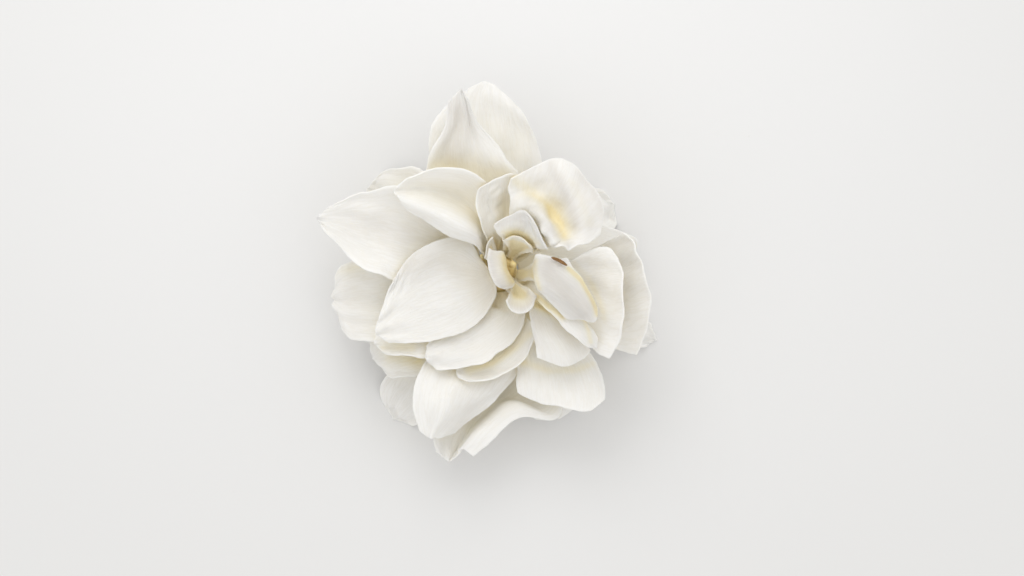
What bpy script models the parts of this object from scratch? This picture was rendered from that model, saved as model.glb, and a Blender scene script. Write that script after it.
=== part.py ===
"""Preserved gardenia flower: petals in their layers, core, tube, calyx and the parts inside."""
import math
from dataclasses import dataclass

import bmesh
import bpy
import numpy as np

MM = 0.001

# The core that carries the petals: its foot, its axis, which leans to the right and up in the photo,
# and its profile (height, radius), in millimetres.
CORE_FOOT = np.array([0.0, 0.0, 8.5])
CORE_AXIS = np.array([0.2613, 0.1375, 0.0])
CORE_AXIS[2] = math.sqrt(1.0 - CORE_AXIS @ CORE_AXIS)
CORE_PROFILE = ((0.0, 5.0), (3.0, 4.8), (7.0, 3.4), (11.0, 2.2), (13.0, 1.2))

# Round bodies on the same axis, below the petals, as (height, radius).
CORE_BODY = ((-0.4, 3.9), (0.0, 4.9), (3.0, 4.8), (7.0, 3.4), (11.0, 2.2), (12.6, 1.4), (13.0, 0.9))
TUBE_BODY = ((-5.2, 2.0), (-4.9, 2.3), (-3.0, 2.5), (-1.6, 3.2), (-0.9, 3.9), (-0.7, 3.7))
PEDICEL_BODY = ((-7.5, 1.35), (-7.0, 1.5), (-6.7, 1.5))
CALYX_LOBES = 6
CALYX_LOBE_RISE = 1.3
# Loop of the calyx from its foot, up the outside, over the rim and down the inside: height, radius, lobe.
CALYX_LOOP = ((-6.4, 1.7), (-6.1, 2.6), (-4.4, 3.4), (-3.4, 3.7), (-3.4, 3.0), (-4.6, 2.7), (-5.5, 2.3))
CALYX_LOOP = tuple((h, r, 1.0 if h > -4.0 else 0.0) for h, r in CALYX_LOOP)

# Style with its stigma, and the anthers left among the heart's petals: line of points and radii.
STIGMA = (((3.68, 1.95, 21.75), (4.1, 2.1, 23.4), (4.8, 2.3, 25)), (0.35, 0.4, 0.55, 0.75, 0.7, 0.4))
ANTHER_SHAPE = (0.32, 0.42, 0.46, 0.44, 0.32)
ANTHERS = (
    ("anther_east", ((12.5, 3.6, 33.1), (14.0, 3.0, 32.8), (15.6, 2.0, 32.15)), ANTHER_SHAPE),
)

PETAL_COLOUR = (0.87, 0.84, 0.75)
HEART_COLOUR = (0.62, 0.42, 0.14)
TUBE_COLOUR = (0.72, 0.70, 0.48)
CALYX_COLOUR = (0.30, 0.36, 0.14)
ANTHER_COLOUR = (0.22, 0.11, 0.04)

# The sheet of a petal and how closely petals may lie, in millimetres.
BLADE = 0.62
ROOT_GAP = 0.3
SHEET_GAP = 1.12
FLOOR_GAP = 0.42
REST_REACH = 0.25
ALONG = 24
ACROSS = (0.0, 0.2, 0.4, 0.58, 0.74, 0.88, 1.0)
CLOSING = 0.8
ROUNDS = 60
RUMPLE = 0.28
RAGGED = 0.035
TIP_BOW = 0.055


@dataclass(frozen=True)
class Petal:
    """One petal; lengths in millimetres, turns in degrees."""

    name: str
    seat: float
    rib: tuple
    face: tuple
    left: tuple
    right: tuple
    cup: tuple = (18.0, 18.0)
    crease: float = 0.0
    roll: tuple = (0.0, 0.0)
    hem: float = 0.35
    curl: float = 20.0
    curl_from: float = 0.8
    wave: tuple = (0.5, 2.0, 0.0)
    folds: tuple = ()
    root: float = 3.4
    point: float = 0.0
    rests: bool = False
    lines: tuple = ()
    places: tuple = ()


def lined(name, seat, lines, places=(), **more):
    """Return a petal drawn by its own lines, from its left margin to its right one, each root to tip."""
    count = len(lines)
    places = places or tuple(2.0 * k / (count - 1) - 1.0 for k in range(count))
    apart = [math.dist(a, b) for a, b in zip(lines[0], lines[-1])]
    half = max(apart) / 2.0
    return Petal(name, seat, lines[count // 2], (), (half,),
     (half,), lines=lines, places=places, **more)


PETALS = (
    # Lowest ring.
    Petal("petal_outer_nw", 0.4, ((-8, 8, 8), (-16, 14, 6.5), (-27, 19, -0.5)), ((10, -10), (0, 0)),
          (6, 8, 6), (6, 8.5, 6), (10, 10), curl=0, wave=(0.4, 2, 0.5), rests=True),
    Petal("petal_outer_sw", 0.4, ((-7, -10, 8), (-13, -20, 6), (-21.5, -31, -0.5)), ((10, 5), (0, 0)),
          (5, 6.5, 6), (5, 7.5, 6.5), (12, 12), curl=0, wave=(0.5, 2.2, 1.0), rests=True),
    Petal("petal_outer_ese", 0.4, ((10, -6, 7), (22, -10.5, 5), (35.3, -14, -0.5)), ((-5, 5), (0, 0)),
          (5, 5.5, 4.5), (4, 3.4, 2.6), (12, 12), curl=0, rests=True),
    Petal("petal_outer_ne", 0.4, ((9, 8, 7.5), (16, 11.5, 5), (26.3, 15.5, -0.5)), ((-5, -5), (0, 0)),
          (5, 7, 5), (5, 7, 6), (12, 12), curl=0, rests=True),
    Petal("petal_outer_wsw", 2.4, ((-8, -6, 10.5), (-15, -12, 11), (-26, -18, 9)), ((10, 5), (-8, 5)),
          (5, 8, 7), (5, 8, 6), (12, 12), curl=30),
    Petal("petal_outer_ene", 2.0, ((10, 3, 9.5), (21, 5, 9), (32.3, 4.3, 5)), ((-5, 0), (10, 0)),
          (5, 6, 4.5), (5, 6, 4.5), (14, 14), curl=40),
    Petal("petal_outer_sse", 0.8, ((7, -11, 6.5), (11, -21, 4.5), (14, -31.4, 5)), ((0, 6), (0, -8)),
          (5, 7, 6.5), (5, 6, 6), (14, 14), curl=40, wave=(0.6, 2, 0)),
    lined("petal_outer_ssw", 2.4, (
        ((8, -13, 9), (14.5, -23, 11), (14, -30.3, 12.5), (5.5, -30.5, 13), (0, -35.2, 12.5),
         (-6.2, -40.5, 11)),
        ((6.5, -13, 8.8), (11.5, -22.5, 10), (10, -28, 12), (4.8, -27.2, 12.6), (-1.5, -31.7, 12),
         (-7.2, -38.2, 11)),
        ((4, -13, 8.5), (5.5, -20, 7.8), (3, -24, 7), (0, -27.5, 7), (-4, -32.8, 7.6),
         (-8.5, -39.3, 9.4)),
        ((0.5, -13, 8.5), (-2, -19, 7.8), (-4, -24, 7.4), (-6, -28, 7.4), (-8.5, -34, 8),
         (-9.8, -40, 9.3)),
        ((-4, -12, 9.3), (-8, -19, 9.4), (-11, -25, 9.4), (-12.5, -30, 9.6), (-12.6, -35.4, 9.6),
         (-11, -39.8, 9.7))),
        (-1, -0.7, -0.25, 0.35, 1), wave=(0, 2, 0)),
    Petal("petal_outer_w", 2.2, ((-9, -2, 12), (-20, -4, 13.5), (-34.5, -5, 12)), ((10, 0), (-8, 4)),
          (7, 10, 9), (7, 9, 8), (20, 14), roll=(20, 20), curl=50, curl_from=0.85,
          folds=((-0.35, 0.9, 0.12), (0.3, 0.8, 0.14))),
    lined("petal_outer_n", 1.6, (
        ((-7, 14, 11), (-12.5, 24, 13), (-13.2, 31, 15), (-9.8, 36, 16), (-6, 39.4, 16.5)),
        ((-3.5, 15, 12), (-7.5, 25, 14.5), (-8, 32, 16), (-6, 37.5, 17), (-4, 40.4, 17)),
        ((0, 15, 12.5), (-1, 26, 15.5), (-1.5, 33, 16.5), (-1.5, 38, 17.5), (-1, 40.9, 17.5)),
        ((4, 14, 12.5), (5, 24, 15), (4.5, 31, 16.5), (3.5, 36, 17.5), (2, 39.2, 17.5)),
        ((7, 13, 12), (10.5, 22.5, 14), (9.3, 28.5, 16), (7.3, 33, 17), (4.6, 36.8, 17.3)))),
    # Middle ring.
    lined("petal_middle_ssw", 3.4, (
        ((5, -13, 14.5), (5.6, -20.4, 13.9), (0, -27, 12.8), (-9.7, -34.9, 12.6)),
        ((2.5, -13, 14.8), (0.6, -20.2, 15.1), (-4.2, -26.7, 15.9), (-11.2, -34.8, 14.5)),
        ((-1, -12.5, 15), (-6, -20.5, 16.6), (-8.6, -27, 19.3), (-12.4, -34.6, 16.5)),
        ((-4, -11.5, 15), (-10.5, -19.8, 17.2), (-12.8, -27, 18.8), (-13.6, -34.8, 16.5)),
        ((-6.5, -10.5, 14.8), (-15, -19.5, 16.8), (-16.8, -28, 17.3), (-14.9, -34.4, 16))),
        (-1, -0.5, -0.05, 0.45, 1), wave=(0.2, 2, 0)),
    lined("petal_middle_sse", 3.2, (
        ((14, -12, 14.5), (21.5, -17.5, 15), (24, -24, 16), (23.6, -28, 17)),
        ((11.5, -12, 14.5), (17.5, -19, 15.5), (20, -25.5, 17), (20, -29.3, 17.5)),
        ((8.5, -12, 14.5), (13, -19, 15), (14.5, -24.5, 16.5), (14.5, -28, 17)),
        ((6, -12, 14.5), (8.8, -18.5, 15), (9.8, -23.5, 15.8), (9.8, -27.4, 16)),
        ((3.5, -12, 14.5), (5, -17.5, 15), (5.2, -22, 15), (5.6, -26, 15))), wave=(0.5, 2, 1)),
    lined("petal_middle_s", 4.6, (
        ((6.5, -8, 16.2), (8.7, -10.5, 17.8), (8.9, -13, 18.4), (6.3, -18.3, 18.8), (0.5, -22, 19),
         (-6.8, -22.4, 19.5)),
        ((5, -8.5, 16.2), (6.3, -11, 16.8), (6, -14, 17), (3, -18.3, 17.2), (-1.5, -20.7, 17.6),
         (-7.4, -21.6, 18.9)),
        ((3.5, -8.5, 16), (3.5, -11.5, 16.3), (2.5, -14.5, 16.5), (-0.5, -17.5, 16.8),
         (-4, -19, 17.4), (-7.8, -20.6, 18.4)),
        ((1.5, -8, 16), (0, -10.5, 16.3), (-2, -13, 16.8), (-4, -15, 17), (-6, -17, 17.4),
         (-8, -19.2, 18))),
        wave=(0.15, 2, 0), root=2.9),
    Petal("petal_middle_wsw", 4.0, ((-6, -5, 15.5), (-14, -10, 17), (-25, -14.5, 18)), ((10, 6),
     (0, 8)),
          (6, 7, 4.5), (6, 7, 4), (20, 14)),
    Petal("petal_middle_wnw", 3.8, ((-7, 5, 17), (-19, 8.5, 19.5), (-37, 12, 21.5)), ((10, -4),
     (8, -4)),
          (8, 10, 6), (7, 11, 6.5), (14, 26), crease=14, wave=(0.4, 2, 1), point=0.8),
    Petal("petal_middle_n", 4.4, ((0, 10, 18.5), (-3, 21, 23.5), (-6.5, 38.5, 31)), ((0, -30),
     (6, -28)),
          (8, 10.5, 4.5), (9, 7, 1.6), (16, 10), roll=(10, 100), hem=0.3, curl=10, wave=(0.3, 2, 0)),
    lined("petal_middle_e", 4.0, (
        ((15, 2, 18), (22, 6, 21), (26.5, 8.3, 24.5), (28.5, 9.6, 26.5)),
        ((16, -1, 16.5), (24, 2, 18.5), (28, 4, 23.5), (30.4, 6, 27.5)),
        ((16, -4, 15.8), (24.5, -3, 17.5), (29, -2, 23), (32.2, -0.5, 27.5)),
        ((15, -7, 15.5), (23.5, -9, 17), (29, -9, 21.5), (33.6, -7.5, 25.5)),
        ((13, -10, 15), (20, -14, 16), (27, -16, 18.5), (32.4, -17, 21))), wave=(0.3, 2, 0), root=3.0),
    Petal("petal_middle_sw", 5.6, ((3, -8, 17.2), (-4, -13.5, 18.8), (-14, -18, 19.3)), ((8, 14),
     (0, 10)),
          (5, 5.5, 4), (6, 6, 4), (12, 8), curl=10),
    lined("petal_middle_w", 10.0, (
        ((0.8, -4.5, 19.3), (-4, -10.8, 20.2), (-13, -14, 20.5), (-23.5, -14.3, 21)),
        ((-0.8, -3.2, 19.8), (-8, -7.6, 20.4), (-16, -10.3, 20.7), (-24.4, -13, 21.5)),
        ((-2.2, -1.6, 20.2), (-10.5, -3.2, 20.9), (-17.5, -6, 21.2), (-24.7, -11.5, 22)),
        ((-2.6, 1.0, 20.4), (-9.5, 3.0, 21.4), (-17.3, -0.4, 21.8), (-24, -9, 22)),
        ((-2.6, 4.2, 20.6), (-5.6, 8.0, 21.6), (-11.5, 7.3, 22), (-17.4, 3.9, 22),
         (-22.5, -4.0, 22))), wave=(0.2, 2, 0), root=2.8),
    # Inner ring.
    lined("petal_inner_s", 7.0, (
        ((11.5, -6, 19.8), (16.3, -10.6, 20.4), (20, -14.6, 20.4), (21.3, -17.2, 20.2)),
        ((10.5, -6.6, 20), (14.4, -12, 21.6), (17.6, -16, 21.8), (18.6, -18.5, 21)),
        ((9.4, -7, 20), (12.2, -12.5, 22), (14.6, -16.6, 22.2), (15.4, -19.2, 21.2)),
        ((8.4, -7, 19.8), (10, -12.5, 21.4), (11.9, -16.6, 21.6), (12.4, -18.9, 20.8)),
        ((7.6, -6.8, 19.4), (8.4, -12, 20.4), (9.6, -16, 20.6), (10.2, -18.1, 20))),
        wave=(0.35, 2, 1)),
    lined("petal_inner_nw", 7.2, (
        ((-3.7, 6.3, 24), (-8, 7.9, 25.8), (-12.6, 10.4, 26.8), (-19, 14.6, 28)),
        ((-3.3, 8.3, 26.5), (-8, 11, 28.8), (-13.8, 13.4, 29.8), (-20, 16, 29.5)),
        ((-1.5, 10, 22.5), (-7, 15, 23.5), (-13, 17, 25.5), (-20.4, 17.4, 29)),
        ((0, 11.5, 23.5), (-5.5, 18.5, 26), (-12.5, 20, 27.5), (-20.2, 18.6, 29)),
        ((0.8, 12.5, 25.5), (-3, 21, 30), (-11.5, 22.2, 30.5), (-19.2, 19.8, 29.5))),
        (-1, -0.72, -0.2, 0.45, 1), wave=(0.2, 2, 0)),
    lined("petal_inner_n", 8.0, (
        ((-1.5, 8.5, 25), (-3.3, 13.5, 28), (-2.6, 18.8, 29.8)),
        ((0.3, 9.5, 24), (-0.6, 15, 25.5), (0, 20.4, 29.5)),
        ((2.5, 10, 23.6), (2.5, 15.5, 24.8), (2.8, 21, 29.3)),
        ((4.5, 9.5, 23.8), (5, 15, 25), (5.6, 21, 28.2)),
        ((6, 8.5, 24.3), (7.5, 13.5, 25.8), (8, 18.5, 26.4))), wave=(0.2, 2, 0)),
    lined("petal_inner_e", 8.0, (
        ((14, 2.6, 26), (19, 4.6, 28), (23.5, 5.8, 29.5), (26.3, 5.2, 30)),
        ((15, 0, 24), (21, 1, 25.5), (25, 1.5, 29), (27.3, 1.5, 31.3)),
        ((15, -3, 22.8), (21.2, -4, 24), (25.4, -4.5, 28), (27.4, -4.5, 31.3)),
        ((14, -5.5, 22), (20, -8.5, 23), (25, -10.5, 26), (27.8, -11, 29)),
        ((12.5, -7.5, 21.5), (18, -13, 22), (22.5, -16.5, 23.5), (26.3, -18, 25))), wave=(0.3, 2, 0)),
    lined("petal_inner_ne", 8.6, (
        ((3.8, 9.5, 25.6), (4, 14.5, 26.8), (3.4, 18, 28.2), (4.5, 21.3, 30)),
        ((6, 10.5, 26.8), (7.3, 14.8, 30.8), (8.8, 17.6, 27.6), (10, 21, 29), (11, 24.3, 28.8)),
        ((8, 10, 28), (9.9, 12.3, 32.2), (12, 14.4, 26.6), (14, 18, 30), (15.4, 21.6, 30),
         (15.9, 24, 28.5)),
        ((9.2, 8, 28.4), (11.2, 9.3, 33), (13.8, 11.2, 27), (17, 15, 30.8), (19, 18.3, 29.5),
         (20.2, 20, 28)),
        ((9.8, 6.4, 28.6), (13, 7, 33), (15.8, 8.6, 28.4), (18.8, 10.6, 30.8), (21.6, 13.3, 29.3),
         (23.9, 15, 27.5)),
        ((10.8, 5.2, 29), (14.3, 5.7, 33), (17.5, 6, 31.6), (20.6, 6.8, 30.4), (23.6, 9.6, 28))),
        (-1, -0.6, -0.2, 0.2, 0.6, 1), wave=(0.1, 2, 0), root=4.2),
    Petal("petal_inner_ese", 9.0, ((9.5, -3, 25), (14.5, -7, 29), (22.3, -15.5, 26)), ((-10, 10),
     (0, 10)),
          (1.8, 2.4, 2), (1.8, 2.4, 2), (24, 10)),
    # Heart.
    lined("petal_heart_nw", 10.6, (
        ((-0.6, 2.9, 20.6), (-1.7, 3.6, 22)),
        ((-0.4, 4, 21), (-1.6, 5.2, 23.3)),
        ((0, 5, 21.5), (-1, 7, 24.4)),
        ((0.9, 5.6, 21.5), (0.2, 8.4, 25))), wave=(0.1, 2, 0), root=2.2),
    lined("petal_heart_north", 10.0, (
        ((2.4, 6.6, 24), (1, 8.8, 28), (0.4, 10, 28.9), (0.8, 11.3, 29.5)),
        ((3.8, 7.2, 24), (3.5, 9.6, 28), (3.7, 10.8, 29), (4.3, 13, 30)),
        ((5.4, 7.2, 24), (6.4, 9.2, 28.3), (7, 10.3, 29.5), (7, 13.6, 30.9)),
        ((6.8, 6.6, 24), (8.8, 7.7, 28.6), (9.9, 8.4, 30), (9.9, 10.6, 31.5)),
        ((7.6, 5.6, 24.5), (10.3, 5.6, 29), (11.9, 5.9, 31),
         (12.3, 6.8, 31.8))), wave=(0.1, 2, 0), root=2.4),
    lined("petal_heart_east", 10.2, (
        ((8.4, 2.6, 26), (9.9, 4.4, 32.2), (13, 3.4, 31.6), (17, 0.9, 29.3), (21.5, -5, 28),
         (22.8, -9, 27.5)),
        ((8.5, 1.6, 26), (9.6, 2.4, 33), (13, 1, 32.8), (17.4, -2.8, 31.6), (20.8, -6.8, 30.8),
         (22.2, -9.6, 29.3)),
        ((8.6, 0.6, 26), (9.6, 0, 33.4), (12.8, -1.5, 33.2), (16.6, -5, 32.5), (19.4, -7.8, 31.7),
         (21, -9.8, 30)),
        ((8.7, -0.4, 26), (9.8, -1.8, 33.2), (12.4, -3.4, 32.8), (15.8, -6.2, 32), (18, -8.2, 31.2),
         (19.5, -9.8, 29.8)),
        ((8.8, -1.4, 26), (10, -3.2, 31.5), (11.5, -4.8, 31), (13.6, -7, 30.2), (15.3, -8.6, 29.6),
         (17, -9.8, 29.1))),
        wave=(0.1, 2, 0), root=2.4),
    lined("petal_heart_south", 11.2, (
        ((7.2, -2.4, 22.6), (8.4, -3.4, 26), (9.8, -4.6, 27.8)),
        ((6.6, -3, 22.5), (7.5, -4.8, 26), (8.7, -7, 28)),
        ((5.6, -3.3, 22.4), (6, -5.4, 26), (6.3, -8.1, 28)),
        ((4.7, -3.2, 22.4), (4.5, -5, 25.8), (4, -7.4, 27.8)),
        ((4.1, -2.8, 22.5), (3.6, -4, 25.4), (2.8, -5.4, 27.4))), wave=(0.1, 2, 0), root=2),
    lined("petal_heart_inner", 11.6, (
        ((3.5, 5.4, 22.3), (2.8, 6.6, 25), (2.2, 7.6, 27)),
        ((4.4, 5.7, 22.3), (4.6, 7.2, 25.2), (4.7, 8.2, 27.3)),
        ((5.3, 5.5, 22.3), (6.3, 6.8, 25.4), (7.2, 7.7, 27.6)),
        ((6, 5, 22.4), (7.5, 5.8, 25.6), (8.8, 6.4, 28)),
        ((6.4, 4.4, 22.6), (8, 4.7, 25.6), (9.4, 5, 28))), wave=(0.15, 3, 0), root=2),
    lined("petal_heart_west", 12.0, (
        ((3.6, -1.2, 22), (4.5, -1.6, 24.6), (4.5, -2.4, 26.6), (3.0, -3.4, 27.4)),
        ((2.8, -0.3, 22), (3.8, -0.5, 25), (3.7, -1.0, 27.1), (2.4, -1.6, 28.2), (0.7, -2.2, 28.2)),
        ((1.9, 0.9, 22), (3.0, 1.0, 25), (3.1, 1.0, 27.3), (1.7, 0.9, 28.6), (-0.5, 0.6, 28.5)),
        ((1.6, 2.3, 22), (2.5, 2.6, 24.8), (2.5, 2.9, 26.9), (1.0, 3.2, 28), (-1.1, 3.4, 27.8)),
        ((1.7, 3.5, 22), (2.1, 4.2, 24.2), (1.8, 4.8, 26), (0.4, 5.3, 26.8), (-1.1, 5.7, 26.7))),
        wave=(0.3, 3, 0), root=2),
)


def unit(vectors):
    """Return the vectors at length one."""
    size = np.linalg.norm(vectors, axis=-1, keepdims=True)
    return vectors / np.maximum(size, 1e-9)


def ease(x):
    """Return a smooth step from nought to one."""
    x = np.clip(x, 0.0, 1.0)
    return x * x * (3.0 - 2.0 * x)


def leaning(east, north):
    """Return the direction that leans from straight up by the two angles in degrees."""
    angle = math.radians(math.hypot(east, north))
    if angle < 1e-9:
        return np.array([0.0, 0.0, 1.0])
    flat = math.sin(angle) / math.hypot(east, north)
    return np.array([flat * east, flat * north, math.cos(angle)])


def core_radius(height):
    """Return the core's radius at a height along its axis."""
    return np.interp(height, [p[0] for p in CORE_PROFILE], [p[1] for p in CORE_PROFILE])


def root_point(petal):
    """Return where the petal's root stands beside the core."""
    centre = CORE_FOOT + CORE_AXIS * petal.seat
    out = np.array(petal.rib[0], float) - centre
    out = unit(out - CORE_AXIS * (out @ CORE_AXIS))
    return centre + out * (core_radius(petal.seat) + ROOT_GAP + BLADE / 2.0)


def curve(points, count):
    """Return count points evenly spaced along a smooth curve through the given points."""
    p = np.array(points, float)
    p = np.vstack([2.0 * p[0] - p[1], p, 2.0 * p[-1] - p[-2]])
    pieces = []
    for i in range(1, len(p) - 2):
        a, b, c, d = p[i - 1:i + 3]
        t0 = 0.0
        t1 = t0 + math.sqrt(np.linalg.norm(b - a))
        t2 = t1 + math.sqrt(np.linalg.norm(c - b))
        t3 = t2 + math.sqrt(np.linalg.norm(d - c))
        t = np.linspace(t1, t2, 40, endpoint=False)[:, None]
        ab = (t1 - t) / (t1 - t0) * a + (t - t0) / (t1 - t0) * b
        bc = (t2 - t) / (t2 - t1) * b + (t - t1) / (t2 - t1) * c
        cd = (t3 - t) / (t3 - t2) * c + (t - t2) / (t3 - t2) * d
        abc = (t2 - t) / (t2 - t0) * ab + (t - t0) / (t2 - t0) * bc
        bcd = (t3 - t) / (t3 - t1) * bc + (t - t1) / (t3 - t1) * cd
        pieces.append((t2 - t) / (t2 - t1) * abc + (t - t1) / (t2 - t1) * bcd)
    pieces.append(p[-2][None])
    line = np.vstack(pieces)
    run = np.concatenate([[0.0], np.cumsum(np.linalg.norm(np.diff(line, axis=0), axis=1))])
    at = np.linspace(0.0, run[-1], count)
    return np.stack([np.interp(at, run, line[:, k]) for k in range(3)], axis=1)


def spline_weights(knots, at):
    """Return the matrix that reads a smooth cubic curve at places from its values at the knots."""
    knots = np.array(knots, float)
    count = len(knots)
    step = np.diff(knots)
    bend = np.zeros((count, count))
    pull = np.zeros((count, count))
    bend[0, 0] = bend[-1, -1] = 1.0
    for i in range(1, count - 1):
        bend[i, i - 1:i + 2] = (step[i - 1], 2.0 * (step[i - 1] + step[i]), step[i])
        pull[i, i - 1:i + 2] = (6.0 / step[i - 1], -6.0 / step[i - 1] - 6.0 / step[i], 6.0 / step[i])
    second = np.linalg.solve(bend, pull)
    i = np.clip(np.searchsorted(knots, at, side="right") - 1, 0, count - 2)
    past, left = at - knots[i], knots[i + 1] - at
    weights = np.zeros((len(at), count))
    row = np.arange(len(at))
    weights[row, i] += left / step[i]
    weights[row, i + 1] += past / step[i]
    weights += ((left ** 3 / step[i] - step[i] * left) / 6.0)[:, None] * second[i]
    weights += ((past ** 3 / step[i] - step[i] * past) / 6.0)[:, None] * second[i + 1]
    return weights


def through_lines(petal, at, spread):
    """Return the sheet through the petal's own lines, and its facing."""
    centre = CORE_FOOT + CORE_AXIS * petal.seat
    root = root_point(petal)
    aside = unit(np.cross(root - centre, CORE_AXIS))
    lines = []
    for place, line in zip(petal.places, petal.lines):
        start = root + aside * place * petal.root / 2.0
        lines.append(curve([start] + list(line), len(at)))
    points = np.einsum("jk,kic->ijc", spline_weights(petal.places, spread), np.array(lines))
    return points, normals_of(points)


def half_width(petal, widths, v):
    """Return the half width at the shares v of the petal's length."""
    knots = np.array([0.0, 0.15, 0.3, 0.6, 0.85, 1.0])
    low = 0.55 * widths[0] + 0.45 * petal.root / 2.0
    values = np.array([petal.root / 2.0, low, widths[0], widths[1], widths[2], widths[2] * 0.94])
    slopes = np.gradient(values, knots)
    i = np.clip(np.searchsorted(knots, v, side="right") - 1, 0, len(knots) - 2)
    h = knots[i + 1] - knots[i]
    s = (v - knots[i]) / h
    body = ((1 + 2 * s) * (1 - s) ** 2 * values[i] + s * (1 - s) ** 2 * h * slopes[i]
            + s * s * (3 - 2 * s) * values[i + 1] + s * s * (s - 1) * h * slopes[i + 1])
    close = np.clip((v - CLOSING) / (1.0 - CLOSING), 0.0, 1.0)
    rounded = np.sqrt(1.0 - 0.975 * close ** 2.2)
    pointed = 1.0 - 0.86 * close
    return body * ((1.0 - petal.point) * rounded + petal.point * pointed)


def rows_of(along):
    """Return the shares of the length at which the rows stand."""
    low = int(round(along * 0.7))
    body = np.linspace(0.0, CLOSING, low, endpoint=False)
    end = CLOSING + (1.0 - CLOSING) * np.sin(np.linspace(0.0, math.pi / 2.0, along - low + 1))
    return np.concatenate([body, end])


def by_its_rib(petal, at, spread):
    """Return the sheet laid out to both sides of the petal's rib, and its facing."""
    count = 160
    rib = curve([root_point(petal)] + list(petal.rib), count)
    v = np.linspace(0.0, 1.0, count)
    ahead = unit(np.gradient(rib, axis=0))
    share = ease((v - 0.25) / 0.7)[:, None]
    face = leaning(*petal.face[0]) * (1.0 - share) + leaning(*petal.face[1]) * share
    face = unit(face - ahead * (face * ahead).sum(axis=1, keepdims=True))
    bend = math.radians(petal.curl) * ease((v - petal.curl_from) / (1.0 - petal.curl_from))[:, None]
    bent = ahead * np.cos(bend) - face * np.sin(bend)
    face = face * np.cos(bend) + ahead * np.sin(bend)
    ahead = bent
    step = np.linalg.norm(rib[1] - rib[0])
    for i in range(int(petal.curl_from * count), count):
        rib[i] = rib[i - 1] + 0.5 * (ahead[i] + ahead[i - 1]) * step
    aside = np.cross(ahead, face)
    rib = np.stack([np.interp(at, v, rib[:, k]) for k in range(3)], axis=1)
    face = unit(np.stack([np.interp(at, v, face[:, k]) for k in range(3)], axis=1))
    aside = unit(np.stack([np.interp(at, v, aside[:, k]) for k in range(3)], axis=1))
    middle = len(ACROSS) - 1
    points = np.zeros((len(at), len(spread), 3))
    points[:, middle] = rib
    q = np.linspace(0.0, 1.0, 61)
    fractions = np.array(ACROSS[1:])
    for side, sign, widths in ((0, -1.0, petal.left), (1, 1.0, petal.right)):
        half = half_width(petal, widths, at)
        start = 2.4 * petal.seat + 1.9 * sign + petal.rib[-1][0]
        half = half * (1.0 + RAGGED * np.sin(17.0 * at + start) + 0.6 * RAGGED * np.sin(31.0 * at - start))
        for i, wide in enumerate(half):
            part = min(1.0, wide / max(widths))
            turn = math.radians(petal.cup[side]) * q * part
            turn = turn + math.radians(petal.crease) * (1.0 - np.exp(-q / 0.12)) * part
            hem = ease((q - (1.0 - petal.hem)) / petal.hem)
            turn = turn - math.radians(petal.roll[side]) * hem * ease(part * 1.3 - 0.15)
            out = np.concatenate([[0.0], np.cumsum((np.cos(turn[1:]) + np.cos(turn[:-1])) / 2.0)])
            up = np.concatenate([[0.0], np.cumsum((np.sin(turn[1:]) + np.sin(turn[:-1])) / 2.0)])
            out = np.interp(fractions, q, out) * q[1] * wide
            up = np.interp(fractions, q, up) * q[1] * wide
            columns = middle + (sign * np.arange(1, middle + 1)).astype(int)
            points[i, columns] = rib[i] + sign * out[:, None] * aside[i] + up[:, None] * face[i]
    return points, np.repeat(face[:, None], len(spread), axis=1)


def sheet(petal):
    """Return the petal's middle surface as rows of points, from root to tip."""
    at = np.linspace(0.0, 1.0, 4 * ALONG + 1)
    fractions = np.array(ACROSS[1:])
    spread = np.concatenate([-fractions[::-1], [0.0], fractions])
    laid_out = through_lines if petal.lines else by_its_rib
    points, face = laid_out(petal, at, spread)
    wide = (max(petal.left) + max(petal.right)) / 2.0
    size, times, start = petal.wave
    part = np.minimum(1.0, np.linalg.norm(points[:, -1] - points[:, 0], axis=1) / (2.0 * wide))
    swing = np.sin(2.0 * math.pi * times * at[:, None] + start + np.where(spread > 0.0, 1.7, 0.0))
    lift = size * part[:, None] * np.abs(spread) ** 2.2 * swing
    for place, depth, width in petal.folds:
        lift = lift + ease((at[:, None] - 0.25) / 0.4) * depth * np.exp(-((spread - place) / width) ** 2)
    first = 0.7 * petal.rib[-1][0] + petal.seat
    second = 0.9 * petal.rib[-1][1] - petal.seat
    middle = len(ACROSS) - 1
    grid_w = (spread * wide)[None, :]
    grid_l = (at * np.linalg.norm(points[-1, middle] - points[0, middle]))[:, None]
    rumple = np.sin(0.62 * grid_w + 0.23 * grid_l + first) * np.sin(0.44 * grid_l - 0.3 * grid_w + second)
    rumple = rumple + 0.5 * np.sin(0.95 * grid_w - 0.5 * grid_l + second + first)
    lift = lift + RUMPLE * rumple * ease((at - 0.15) / 0.5)[:, None]
    points = points + lift[..., None] * face
    rows = rows_of(ALONG)
    bowed = np.zeros((len(rows), points.shape[1], 3))
    for j, place in enumerate(spread):
        back = rows * (1.0 - TIP_BOW * place * place * rows ** 4)
        for k in range(3):
            bowed[:, j, k] = np.interp(back, at, points[:, j, k])
    return bowed


def normals_of(points):
    """Return the sheet's normals, towards the face of the petal."""
    across = np.gradient(points, axis=1)
    along = np.gradient(points, axis=0)
    return unit(np.cross(across, along))


def softened(field, passes):
    """Return a field over the sheet's grid after some rounds of averaging with its neighbours."""
    for _ in range(passes):
        padded = np.pad(field, ((1, 1), (1, 1), (0, 0)), mode="edge")
        field = (padded[:-2, 1:-1] + padded[2:, 1:-1] + padded[1:-1, :-2] + padded[1:-1, 2:]
                 + 2.0 * field) / 6.0
    return field


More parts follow.
